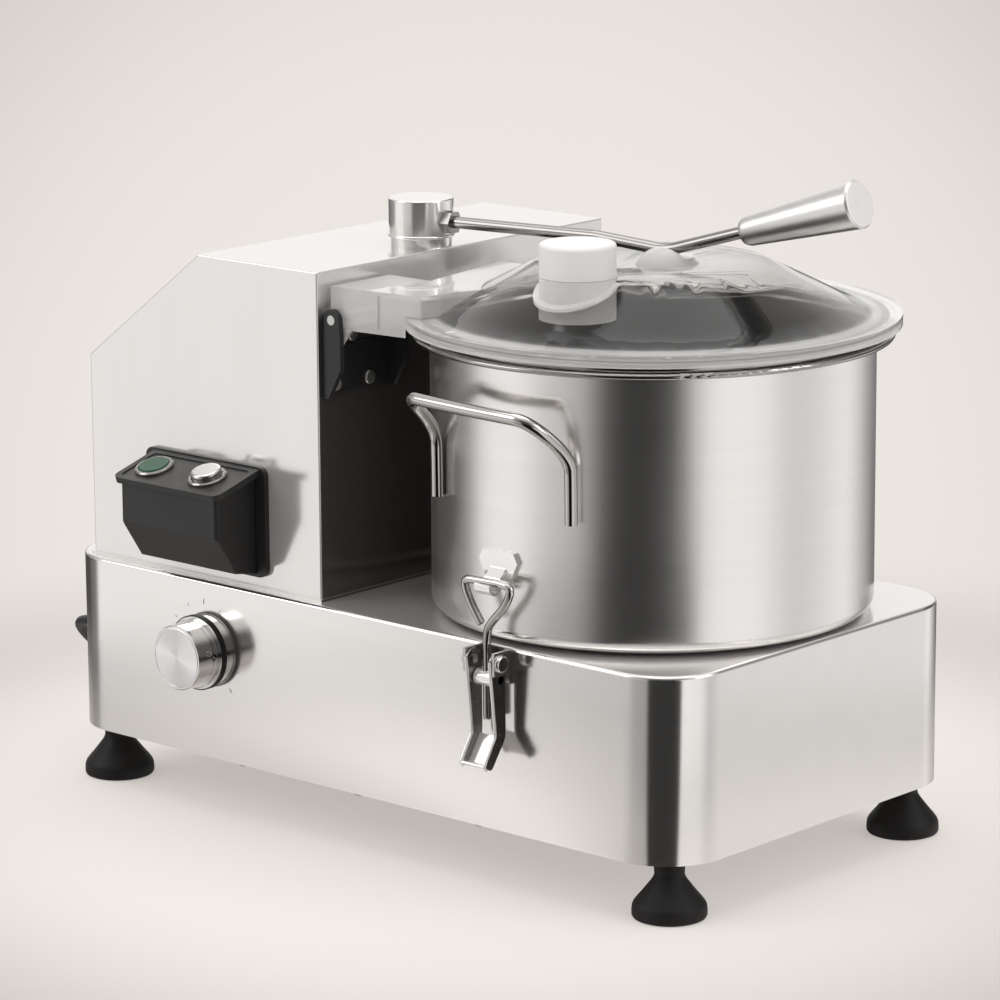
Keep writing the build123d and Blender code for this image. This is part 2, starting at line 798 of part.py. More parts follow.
def make_hinge_bracket():
    front = arm_front - hinge_side_gap
    back = arm_front + arm_lug_depth + hinge_side_gap
    low = hinge_z - hinge_plate_drop
    shelf = low + hinge_plate_height
    plate = block(tower_right, tower_right + hinge_plate, front, back, low, shelf)
    reach = hinge_x + hinge_knuckle_radius
    bracket = plate
    for y0, y1 in ((front - hinge_cheek, front), (back, back + hinge_cheek)):
        cheek_points = [(tower_right, low - 2), (tower_right + hinge_plate + 2, low - 2),
                        (reach + 1, low + 17), (reach + 1, hinge_z - 10), (reach, hinge_z),
                        (tower_right, hinge_z)]
        side = plate_from_front(cheek_points, y0, y1)
        side += bar_along_y(hinge_x, hinge_z, y0, y1, hinge_knuckle_radius)
        bracket += side
    bracket -= bar_along_y(hinge_x, hinge_z, front - 2 * hinge_cheek, back + 2 * hinge_cheek,
                           hinge_pin_radius)
    for x, y, z in hinge_screw_places():
        bracket -= bar_along_x(y, z, x - 1, x + hinge_plate + 1, hinge_screw_radius)
    return bracket


def make_hinge_pin():
    front = arm_front - hinge_side_gap - hinge_cheek
    back = arm_front + arm_lug_depth + hinge_side_gap + hinge_cheek
    return bar_along_y(hinge_x, hinge_z, front, back, hinge_pin_radius)


def make_hinge_screws():
    screws = []
    for x, y, z in hinge_screw_places():
        face = x + hinge_plate
        head = bar_along_x(y, z, face, face + hinge_screw_head_height, hinge_screw_head_radius)
        head = fillet(head.edges().group_by(Axis.X)[-1], hinge_screw_head_height * 0.6)
        slot = hinge_screw_head_radius
        head -= Pos(face + hinge_screw_head_height, y, z) * Rot(25, 0, 0) * Box(slot / 2, slot, slot / 5)
        head -= Pos(face + hinge_screw_head_height, y, z) * Rot(25, 0, 0) * Box(slot / 2, slot / 5, slot)
        screws.append(head + bar_along_x(y, z, x - 3 * sheet, face, hinge_screw_radius))
    return screws


# Lock lever

def lever_points():
    rise = tan(radians(lever_rise_angle))
    low_z = lever_rod_z - lever_low_drop
    end_z = low_z + lever_end_after * rise
    return [(spindle_radius, lever_rod_z), (lever_low - lever_mid_before, lever_rod_z + lever_mid_rise),
            (lever_low, low_z), (lever_low + lever_end_after, end_z)]


def lever_lowest():
    # Height of the rod's centre line where it is lowest, after the bend rounds the corner
    points = lever_points()
    fall = atan2(points[1][1] - points[2][1], points[2][0] - points[1][0])
    rise = radians(lever_rise_angle)
    half_turn = (fall + rise) / 2
    tangent = lever_bend_radius * tan(half_turn)
    return points[2][1] + tangent * sin(fall) - lever_bend_radius * (1 - cos(fall))


def place_on_lever(piece):
    return Pos(hub_x, hub_y, 0) * Rot(0, 0, lever_turn) * piece


def lever_bar():
    points = [(x, 0, z) for x, z in lever_points()]
    return bent_rod(points, [lever_bend_radius, lever_bend_radius], lever_rod_radius)


def make_lever_hub():
    hub = post(0, 0, hub_bottom, hub_top, hub_radius)
    hub = fillet(hub.edges().group_by(Axis.Z)[-1], 1.0)
    flange = post(0, 0, hub_bottom, hub_bottom + hub_flange_height, hub_flange_radius)
    hub += fillet(flange.edges(), hub_flange_height * 0.4)
    hub -= post(0, 0, hub_bottom - 1, hub_top - hub_roof, spindle_radius)
    return place_on_lever(hub - lever_bar())


def make_lever_spindle():
    low = tower_top - hub_boss_length
    spindle = post(0, 0, low - cam_height, hub_top - hub_roof, spindle_radius)
    cam = post(0, 0, low - cam_height, low - hub_gap, cam_radius)
    cam -= block(cam_radius - cam_cut, cam_radius, -cam_radius, cam_radius, low - cam_height, low)
    return place_on_lever(spindle + cam)


def make_lever_rod():
    return place_on_lever(lever_bar())


def make_lever_nut():
    start = hub_radius * cos(pi / 12)
    nut = Plane.YZ * RegularPolygon(nut_flats / 2, 6, major_radius=False)
    nut = Pos(start - 1, 0, lever_rod_z) * extrude(nut, nut_length + 1)
    nut -= post(0, 0, hub_bottom, hub_top, hub_radius)
    return place_on_lever(nut - lever_bar())


def make_lever_grip():
    # A turned, tapering grip with a rounded small end, bored for the rod
    length = grip_length
    big = grip_large_radius
    small = grip_small_radius
    nose = [(lever_rod_radius, 0), (small * 0.62, 0), (small * 0.88, 1.2), (small, 4.0)]
    body = nose + [(big, length - 1.2), (big - 1.2, length), (0, length)]
    depth = (lever_end_after - grip_start_after) / cos(radians(lever_rise_angle))
    grip = turned(body + [(0, depth), (lever_rod_radius, depth)])
    low_z = lever_points()[2][1]
    start_z = low_z + grip_start_after * tan(radians(lever_rise_angle))
    place = Pos(lever_low + grip_start_after, 0, start_z) * Rot(0, 90 - lever_rise_angle, 0)
    return place_on_lever(place * grip)


def make_hub_base():
    base = post(0, 0, tower_top, hub_base_top, hub_base_radius)
    base += post(0, 0, tower_top - hub_boss_length + 1, tower_top, hub_boss_radius)
    base -= post(0, 0, tower_top - hub_boss_length, hub_base_top + 1, spindle_radius + running_gap)
    return Pos(hub_x, hub_y, 0) * base


def make_interlock_switch():
    # Hung from the tower's roof, its plunger a hair's breadth from the cam
    low = tower_top - hub_boss_length - cam_height
    right = hub_x - cam_radius - switch_gap * 3
    body = block(right - switch_size, right, hub_y - switch_size / 2, hub_y + switch_size / 2, low,
                 tower_top - sheet)
    return body + block(right, right + switch_gap * 2, hub_y - 2, hub_y + 2, low, low + cam_height)


# Control box

def cover_plane():
    # The plane of the cover's top face, from its back edge; local y runs up the slope
    return Plane(origin=(box_left + box_width / 2, tower_front - plate_thickness,
                         base_top + cover_back_height),
                 x_dir=(1, 0, 0), z_dir=(0, -sin(radians(cover_slope)), cos(radians(cover_slope))))


def make_control_plate():
    centre_x = plate_left + plate_width / 2
    centre_z = base_top + plate_bottom + plate_height / 2
    face = Plane(origin=(centre_x, tower_front, centre_z), x_dir=(1, 0, 0), z_dir=(0, -1, 0))
    plate = extrude(face * RectangleRounded(plate_width, plate_height, plate_corner), plate_thickness)
    window = Pos(centre_x, tower_front - plate_thickness / 2, base_top + box_front_low)
    return plate - window * Box(box_width / 2, plate_thickness, box_front_low / 2)


def box_profile(inset):
    back = tower_front - plate_thickness
    front = back - box_depth
    slope = tan(radians(cover_slope))
    under = base_top + cover_back_height - cover_thickness / cos(radians(cover_slope))
    chin = base_top + box_chin_low
    return [(back, under), (front + inset, under - (box_depth - inset) * slope),
            (front + inset, base_top + box_front_low + inset * 0.4),
            (front + box_chin_depth + inset * 0.5, chin + inset),
            (back, base_top + box_bottom + inset)]


def make_control_box():
    right = box_left + box_width
    outer = plate_from_side(box_profile(0), box_left, right)
    uprights = outer.edges().filter_by(lambda e: abs(e.tangent_at(0).X) < 0.1
                                       and e.center().Y < tower_front - box_depth)
    outer = fillet(uprights, 3.0)
    return outer - plate_from_side(box_profile(box_wall), box_left + box_wall, right - box_wall)


def cover_length():
    return (box_depth + cover_margin) / cos(radians(cover_slope))


def button_places():
    return [(button_first_x - (box_left + box_width / 2), -button_up_slope),
            (button_first_x + button_spacing - (box_left + box_width / 2), -button_up_slope)]


def make_control_cover():
    width = box_width + 2 * cover_margin
    length = cover_length()
    outline = Pos(0, -length / 2) * Rectangle(width, length)
    outline = fillet(outline.vertices().group_by(Axis.Y)[0], cover_corner)
    slab = extrude(outline, -cover_thickness)
    well = Pos(0, -length / 2) * RectangleRounded(width - 2 * cover_border, length - 2 * cover_border,
                                                  cover_corner / 2)
    slab -= extrude(well, -cover_recess)
    for x, y in button_places():
        slab -= post(x, y, -cover_thickness, 0, bezel_hole_radius)
    cover = cover_plane() * slab
    return cover - block(plate_left, 0, tower_front - plate_thickness, 0, base_top, tower_top)


def make_bezels():
    bezels = []
    for x, y in button_places():
        ring = post(x, y, -cover_recess, bezel_height, bezel_radius)
        ring = chamfer(ring.edges().group_by(Axis.Z)[-1], bezel_height * 0.45)
        ring += post(x, y, -cover_thickness - 2, -cover_recess, bezel_hole_radius)
        ring -= post(x, y, -cover_thickness - 2, bezel_height, button_radius + cap_gap)
        bezels.append(cover_plane() * ring)
    return bezels


def make_button(index, height):
    x, y = button_places()[index]
    button = post(x, y, -button_skirt + button_travel, height, button_radius)
    edge = button.edges().group_by(Axis.Z)[-1]
    button = fillet(edge, min(2.0, height * 0.35))
    low = -cover_thickness - stem_length + button_travel
    button += post(x, y, low, 0, stem_radius)
    return cover_plane() * button


def make_switch_blocks():
    blocks = []
    half = switch_block / 2
    floor = -cover_thickness - stem_length - button_travel
    for x, y in button_places():
        body = block(x - half, x + half, y - half, y + half, floor, -cover_thickness - 2)
        body -= post(x, y, floor + 2, 0, stem_radius + switch_gap)
        blocks.append(cover_plane() * body)
    return blocks


# Speed knob

def make_knob():
    back = front_wall - dial_ring_thickness - knob_gap
    section = [(pot_shaft_radius, 0), (knob_collar_radius - 0.6, 0), (knob_collar_radius, 0.6),
               (knob_collar_radius, 1.6), (knob_collar_radius - 0.7, 1.8),
               (knob_collar_radius - 0.7, 2.6), (knob_collar_radius, 2.8),
               (knob_collar_radius, knob_collar_length - 0.5),
               (knob_collar_radius - 0.5, knob_collar_length), (knob_radius, knob_collar_length),
               (knob_radius, knob_length - 0.6), (knob_radius - 0.6, knob_length),
               (knob_radius - knob_rim - 0.6, knob_length),
               (knob_radius - knob_rim - 0.8, knob_length - 0.3), (0, knob_length - 0.3),
               (0, knob_length / 2), (pot_shaft_radius, knob_length / 2)]
    knob = Pos(knob_x, back, knob_z) * Rot(90, 0, 0) * turned(section)
    screw_y = back - knob_length * set_screw_place
    knob -= bar_along_x(screw_y, knob_z, knob_x, knob_x + knob_collar_radius, set_screw_radius)
    return knob


def make_knob_shaft():
    back = front_wall - dial_ring_thickness - knob_gap
    shaft = bar_along_y(knob_x, knob_z, back - knob_length / 2, front_wall + 3 * sheet,
                        pot_shaft_radius)
    screw_y = back - knob_length * set_screw_place
    shaft += bar_along_x(screw_y, knob_z, knob_x, knob_x + knob_radius - 1.0, set_screw_radius)
    return shaft & block(knob_x - knob_radius, knob_x + knob_radius, back - knob_length * 0.7, 0,
                         knob_z - knob_radius, knob_z + knob_radius)


def make_dial_ring():
    ring = bar_along_y(knob_x, knob_z, front_wall - dial_ring_thickness, front_wall, dial_ring_radius)
    return ring - bar_along_y(knob_x, knob_z, front_wall - dial_ring_thickness, front_wall,
                              pot_shaft_radius + knob_gap)


def make_potentiometer():
    inside = front_wall + sheet
    body = bar_along_y(knob_x, knob_z, inside, inside + pot_body_length, pot_body_radius)
    bore = bar_along_y(knob_x, knob_z, inside, inside + 3 * sheet, pot_shaft_radius + knob_gap)
    return body - bore


# Latches

def make_latch_bracket():
    half = cheek_spacing / 2 + bracket_gap
    low = pivot_z - bracket_low
    high = pivot_z + bracket_high
    bracket = block(latch_x - half - bracket_wall, latch_x + half + bracket_wall,
                    front_wall - bracket_wall, front_wall, low, high)
    for side in (-1, 1):
        x0 = latch_x + side * half
        x1 = latch_x + side * (half + bracket_wall)
        ear = block(min(x0, x1), max(x0, x1), front_wall - bracket_depth, front_wall,
                    pivot_z - bracket_high, high)
        bracket += ear
    return bracket


def make_latch_rivets():
    # One rivet each side, so that the rod can pass between them
    rivets = []
    inner = cheek_spacing / 2 - cheek
    outer = cheek_spacing / 2 + bracket_gap + bracket_wall
    for side in (-1, 1):
        shank = bar_along_x(pivot_y, pivot_z, latch_x + side * (inner - 0.3),
                            latch_x + side * outer, rivet_radius)
        head = bar_along_x(pivot_y, pivot_z, latch_x + side * outer,
                           latch_x + side * (outer + rivet_head_height), rivet_head_radius)
        crown = head.edges().filter_by(GeomType.CIRCLE).sort_by(Axis.X)[0 if side < 0 else -1]
        rivets.append(shank + fillet(crown, rivet_head_height * 0.8))
    return rivets


def make_bracket_with_holes():
    bracket = make_latch_bracket()
    reach = cheek_spacing + 2 * bracket_wall
    return bracket - bar_along_x(pivot_y, pivot_z, latch_x - reach, latch_x + reach, rivet_radius)


def lever_side_outline():
    # Outline of one cheek as (y, z): straight from the pivot, then kinked outwards to the grip
    front = pivot_y - lever_front
    back = pivot_y + lever_back
    kink = pivot_z - lever_kink_drop
    tip = pivot_z - lever_tip_drop
    tip_front = front - lever_tip_reach
    return [(back, pivot_z), (front, pivot_z), (front, kink), (tip_front, tip + 4),
            (tip_front + 2, tip), (tip_front + lever_tip_depth, tip - 2), (back - 2, kink - 3),
            (back, kink + 2)]


def make_latch_lever():
    half = cheek_spacing / 2
    lever = None
    for side in (-1, 1):
        x0 = latch_x + side * half
        x1 = latch_x + side * (half - cheek)
        low_x, high_x = min(x0, x1), max(x0, x1)
        side_plate = plate_from_side(lever_side_outline(), low_x, high_x)
        side_plate += bar_along_x(pivot_y, pivot_z, low_x, high_x, lever_head_radius)
        lever = side_plate if lever is None else lever + side_plate
    outline = lever_side_outline()
    tip_low = outline[5]
    kink_low = outline[6]
    web = plate_from_side([kink_low, tip_low, (tip_low[0] - cheek * 0.5, tip_low[1] + cheek),
                           (kink_low[0] - cheek * 0.9, kink_low[1] + cheek)],
                          latch_x - half + cheek, latch_x + half - cheek)
    lip = plate_from_side([outline[4], tip_low, (tip_low[0] - cheek * 0.5, tip_low[1] + cheek),
                           (outline[4][0] + cheek * 0.3, outline[4][1] + cheek)],
                          latch_x - half + cheek, latch_x + half - cheek)
    lever += web + lip
    lever -= bar_along_x(pivot_y, pivot_z, latch_x - half - 1, latch_x + half + 1,
                         rivet_radius + running_gap)
    lever -= bar_along_x(trunnion_y, trunnion_z, latch_x - half - 1, latch_x + half + 1,
                         trunnion_end_radius + running_gap)
    return lever


def make_latch_rod():
    # A bent eye with a free end; its lower end is threaded through the trunnion
    y = trunnion_y
    stem_top = eye_z - eye_depth
    half = eye_half_width
    tail_z = stem_top + eye_tail
    tail_x = latch_x - half * (tail_z - stem_top + rod_radius * 1.6) / eye_depth
    points = [(latch_x, y, trunnion_z - rod_end_drop + trunnion_drop), (latch_x, y, stem_top),
              (latch_x + half, y, eye_z), (latch_x - half, y, eye_z), (tail_x, y, tail_z)]
    return bent_rod(points, [8.0, eye_bend_radius, eye_bend_radius], rod_radius)


def make_trunnion():
    inner = cheek_spacing / 2 - cheek - 0.3
    outer = cheek_spacing / 2 + 0.05
    pin = bar_along_x(trunnion_y, trunnion_z, latch_x - inner, latch_x + inner, trunnion_radius)
    pin += bar_along_x(trunnion_y, trunnion_z, latch_x - outer, latch_x + outer, trunnion_end_radius)
    return pin - post(latch_x, trunnion_y, trunnion_z - 2 * trunnion_radius,
                      trunnion_z + 2 * trunnion_radius, rod_radius)


def make_catch():
    # A leaf welded on the bowl whose tongue steps out and turns up into a hook under the eye's bar
    reach = rod_radius + catch_gap + catch_thickness / 2
    wall_y = -sqrt(bowl_radius ** 2 - latch_shift ** 2)
    leaf_y = wall_y - leaf_thickness + catch_thickness / 2
    trough_back = trunnion_y + reach
    trough_low = eye_z - reach
    path = FilletPolyline((leaf_y, eye_z + leaf_height), (leaf_y, eye_z + 9.0),
                          (trough_back, eye_z + 3.0), (trough_back, trough_low),
                          (trunnion_y - reach, trough_low), (trunnion_y - reach, eye_z + 1.5),
                          radius=[2.5, 2.5, reach - 0.05, reach - 0.05])
    strip = Plane.YZ * trace(path, catch_thickness)
    hook = Pos(latch_x - catch_width / 2, 0, 0) * extrude(strip, catch_width)
    half = leaf_width / 2
    leaf = plate_from_front([(latch_x - half * 0.8, eye_z + leaf_height),
                             (latch_x + half * 0.8, eye_z + leaf_height),
                             (latch_x + half, eye_z + leaf_height * 0.7),
                             (latch_x + half * 0.7, eye_z + 4.0), (latch_x - half * 0.7, eye_z + 4.0),
                             (latch_x - half, eye_z + leaf_height * 0.7)],
                            wall_y - leaf_thickness, wall_y + leaf_thickness * 2)
    wall = post(bowl_x, 0, bowl_bottom, bowl_top, bowl_radius)
    return (hook + leaf) - wall


# Drive

def make_bearing_housing():
    roof = base_top - sheet
    housing = post(bowl_x, 0, roof - housing_length, base_top, housing_radius)
    housing += post(bowl_x, 0, roof - housing_flange, roof, housing_flange_radius)
    housing -= post(bowl_x, 0, roof - housing_length, base_top, shaft_radius + 2)
    for low in bearing_levels():
        housing -= post(bowl_x, 0, low, low + bearing_width, bearing_radius)
    housing -= post(bowl_x, 0, roof - housing_length, roof - housing_length + bearing_width,
                    bearing_radius)
    return housing


def bearing_levels():
    roof = base_top - sheet
    return [roof - housing_length, base_top - bearing_width]


def make_bearings():
    rings = []
    for low in bearing_levels():
        ring = post(bowl_x, 0, low, low + bearing_width, bearing_radius)
        rings.append(ring - post(bowl_x, 0, low, low + bearing_width, shaft_radius + running_gap))
    return rings


def make_spindle():
    top = bowl_bottom + shaft_top
    shaft = post(bowl_x, 0, pulley_bottom - 4, top - blade_nut_height, shaft_radius)
    return shaft + post(bowl_x, 0, top - blade_nut_height, top + 2, shaft_radius * 0.5)


def make_pulley(x, radius, bore):
    top = pulley_bottom + pulley_width
    pulley = turned([(bore, pulley_bottom), (radius + 2, pulley_bottom),
                     (radius + 2, pulley_bottom + pulley_flange - 0.8),
                     (radius, pulley_bottom + pulley_flange - 0.5),
                     (radius, top - pulley_flange + 0.5), (radius + 2, top - pulley_flange + 0.8),
                     (radius + 2, top), (bore, top)], x)
    web_low = pulley_bottom + pulley_width * 0.7
    for index in range(6):
        angle = 2 * pi * index / 6
        spot = (bore + radius) / 2
        pulley -= post(x + spot * cos(angle), spot * sin(angle), pulley_bottom - 1, web_low + 8,
                       (radius - bore) * 0.25)
    return pulley


def belt_loop(clearance):
    # Outline of a belt round both pulleys: two arcs joined by their common tangents
    big = driven_pulley_radius + clearance
    small = motor_pulley_radius + clearance
    span = bowl_x - motor_x
    tilt = (big - small) / span
    rise = sqrt(1 - tilt ** 2)
    big_top = (bowl_x + big * -tilt, big * rise)
    small_top = (motor_x + small * -tilt, small * rise)
    big_low = (big_top[0], -big_top[1])
    small_low = (small_top[0], -small_top[1])
    edges = [Line(small_top, big_top), ThreePointArc(big_top, (bowl_x + big, 0), big_low),
             Line(big_low, small_low), ThreePointArc(small_low, (motor_x - small, 0), small_top)]
    return make_face(edges)


def make_belt():
    low = pulley_bottom + pulley_flange
    loop = belt_loop(belt_gap + belt_thickness) - belt_loop(belt_gap)
    return extrude(Pos(0, 0, low) * loop, pulley_width - 2 * pulley_flange)


def make_motor():
    low = base_top + motor_plate_thickness
    body = post(motor_x, 0, low, low + motor_height, motor_radius)
    body = fillet(body.edges().group_by(Axis.Z)[-1], 8.0)
    for index in range(motor_fin_count):
        angle = 360 / motor_fin_count * index
        groove = Pos(motor_radius, 0, low + motor_height / 2) * Box(
            motor_fin_depth * 2, motor_fin_width, motor_height * 0.7)
        body -= Pos(motor_x, 0, 0) * Rot(0, 0, angle) * groove
    bore = post(motor_x, 0, low, low + motor_shaft_bite + 1, motor_shaft_radius + running_gap)
    return body - bore


def make_motor_plate():
    half = motor_radius + motor_plate_margin
    plate = block(motor_x - half, motor_x + half, -half, half, base_top,
                  base_top + motor_plate_thickness)
    return plate - post(motor_x, 0, base_top, base_top + motor_plate_thickness, motor_shaft_radius * 2)


def make_motor_shaft():
    top = base_top + motor_plate_thickness + motor_shaft_bite
    return post(motor_x, 0, pulley_bottom - 4, top, motor_shaft_radius)


# Blade set

def make_blade_hub():
    low = bowl_bottom + blade_hub_bottom
    top = bowl_bottom + shaft_top - blade_nut_height
    hub = post(bowl_x, 0, low, top, blade_hub_radius)
    hub = fillet(hub.edges().group_by(Axis.Z)[-1], 3.0)
    sleeve_top = bowl_bottom + bowl_tube_height + hub_tube_gap
    hub -= post(bowl_x, 0, low - 1, sleeve_top, bowl_tube_radius + hub_tube_gap)
    return hub - post(bowl_x, 0, sleeve_top, top + 1, shaft_radius)


def blade_wing():
    # One sickle: a convex cutting edge outside and a concave back, both arcs from root to tip
    tip_radius = bowl_radius - bowl_wall - blade_tip_gap
    root = blade_hub_radius - 1.0
    tip_angle = radians(-38)
    tip = (tip_radius * cos(tip_angle), tip_radius * sin(tip_angle))
    inner_tip = ((tip_radius - blade_tip_width) * cos(tip_angle - 0.05),
                 (tip_radius - blade_tip_width) * sin(tip_angle - 0.05))
    start = (root * 0.45, root * 0.87)
    end = (root * 0.45, root * 0.87 - blade_root_width)
    edge_middle = (tip_radius * 0.55, blade_bow * 0.62)
    back_middle = (tip_radius * 0.5, -blade_bow * 0.38)
    edges = [ThreePointArc(start, edge_middle, tip), Line(tip, inner_tip),
             ThreePointArc(inner_tip, back_middle, end), Line(end, start)]
    return make_face(edges)


def make_double_blade(level, turn):
    wing = blade_wing()
    other = Rot(0, 0, 180) * blade_wing()
    outline = Circle(blade_hub_radius + 7) + wing + other
    blade = extrude(outline, blade_thickness)
    top_edges = [e for e in blade.edges().group_by(Axis.Z)[-1]
                 if e.length > blade_hub_radius * 3 and e.center().length > blade_hub_radius * 2.6]
    longest = sorted(top_edges, key=lambda e: e.length)[-2:]
    blade = chamfer(longest, blade_bevel)
    blade -= post(0, 0, -1, blade_thickness + 1, blade_hub_radius)
    return Pos(bowl_x, 0, bowl_bottom + level) * Rot(0, 0, turn) * blade


def make_blades():
    return [make_double_blade(lower_blade_level, 20.0), make_double_blade(upper_blade_level, 110.0)]


def make_blade_nut():
    low = bowl_bottom + shaft_top - blade_nut_height
    nut = post(bowl_x, 0, low, low + blade_nut_height, blade_nut_radius)
    for index in range(6):
        angle = radians(60 * index)
        nut -= post(bowl_x + (blade_nut_radius + 4) * cos(angle), (blade_nut_radius + 4) * sin(angle),
                    low, low + blade_nut_height, 6.0)
    nut = fillet(nut.edges().group_by(Axis.Z)[-1], 1.0)
    return nut - post(bowl_x, 0, low - 1, low + blade_nut_height + 3, shaft_radius * 0.5)


# Electrical pieces

def make_speed_board():
    wall = front_wall + sheet
    low = base_bottom + 3 * sheet + 8
    y1 = wall + board_standoff
    board = block(board_x - board_length / 2, board_x + board_length / 2, y1, y1 + board_thickness,
                  low, low + board_height)
    for x in (-1, 1):
        for z in (6.0, board_height - 6.0):
            spot = board_x + x * (board_length / 2 - 6)
            board += bar_along_y(spot, low + z, wall, y1, 3.0)
    back = y1 + board_thickness
    board += block(board_x - 40, board_x - 5, back, back + 22, low + 10, low + 60)
    for fin in range(5):
        x = board_x + 8 + fin * 7
        board += block(x, x + 2.5, back, back + 25, low + 12, low + 58)
    return board


def make_capacitor():
    low = base_bottom + sheet
    can = post(capacitor_x, capacitor_y, low, low + capacitor_length, capacitor_radius)
    can = fillet(can.edges().group_by(Axis.Z)[-1], 3.0)
    return can + post(capacitor_x, capacitor_y, low + capacitor_length, low + capacitor_length + 6, 8)


# Mains lead

gland_z = base_bottom + gland_height
exit_x = left_wall - gland_nut - relief_length
outer_turn = coil_mean_radius + cord_radius
plug_y = coil_y + outer_turn


def cord_route():
    # From the gland down to the table and round behind the machine to the coil
    on_table = cord_radius + 0.1
    return [(exit_x, gland_y, gland_z), (exit_x - 18, gland_y + 3, gland_z - 3),
            (exit_x - 27, gland_y + 22, gland_z - 20), (exit_x - 24, gland_y + 52, gland_z - 46),
            (exit_x - 18, gland_y + 90, gland_z - 72), (exit_x - 14, gland_y + 135, on_table),
            (exit_x - 12, gland_y + 185, on_table), (exit_x + 2, gland_y + 238, on_table),
            (exit_x + 31, gland_y + 282, on_table), (exit_x + 75, gland_y + 317, on_table),
            (coil_x - coil_mean_radius - 20, coil_y + outer_turn, on_table),
            (coil_x - coil_mean_radius * 0.4, coil_y + outer_turn, on_table)]


def route_radii(points):
    radii = []
    for before, here, after in zip(points, points[1:], points[2:]):
        first = Vector(*here) - Vector(*before)
        second = Vector(*after) - Vector(*here)
        turn = radians(first.get_angle(second))
        radii.append(0.45 * min(first.length, second.length) / tan(turn / 2))
    return radii


def make_gland():
    nut = Plane(origin=(left_wall, gland_y, gland_z), z_dir=(-1, 0, 0)) * RegularPolygon(
        gland_radius, 6)
    gland = extrude(nut, gland_nut)
    cone = Solid.make_cone(gland_radius * 0.78, relief_tip_radius, relief_length,
                           Plane(origin=(left_wall - gland_nut, gland_y, gland_z), z_dir=(-1, 0, 0)))
    gland += cone
    gland += bar_along_x(gland_y, gland_z, left_wall, left_wall + 3 * sheet, gland_radius * 0.7)
    lock = bar_along_x(gland_y, gland_z, left_wall + sheet, left_wall + 3 * sheet, gland_radius)
    return gland + lock


def make_cord():
    points = cord_route()
    return bent_rod(points, route_radii(points), cord_radius) - make_gland() - make_coil()


def make_coil():
    wide = coil_wide * cord_radius
    inner = coil_mean_radius - wide
    outer = coil_mean_radius + wide
    high = coil_high * cord_radius * 2
    edge = cord_radius * 0.8
    ring = turned([(inner + edge, 0), (outer - edge, 0), (outer, edge), (outer, high - edge),
                   (outer - edge, high), (inner + edge, high), (inner, high - edge), (inner, edge)],
                  coil_x, coil_y)
    return ring


def make_plug():
    # A moulded plug with two round pins, lying on the table beside the coil
    x0 = coil_x + coil_mean_radius + plug_gap
    body = rounded_slab(x0, x0 + plug_length, plug_y - plug_width / 2, plug_y + plug_width / 2, 0,
                        plug_height, 6.0)
    body = fillet(body.edges().group_by(Axis.Z)[-1], 3.0)
    body += bar_along_x(plug_y, plug_height / 2, x0 - 3.0, x0 + 4, cord_radius + 0.4)
    for side in (-1, 1):
        body += bar_along_x(plug_y + side * pin_spacing / 2 * 0.9, plug_height / 2,
                            x0 + plug_length * 0.8, x0 + plug_length + pin_length, pin_radius)
    return body


front_catch = make_catch()
front_handle = make_handle()
front_rivets = make_latch_rivets()
front_bracket = make_bracket_with_holes()
front_latch_lever = make_latch_lever()
front_latch_rod = make_latch_rod()
front_trunnion = make_trunnion()

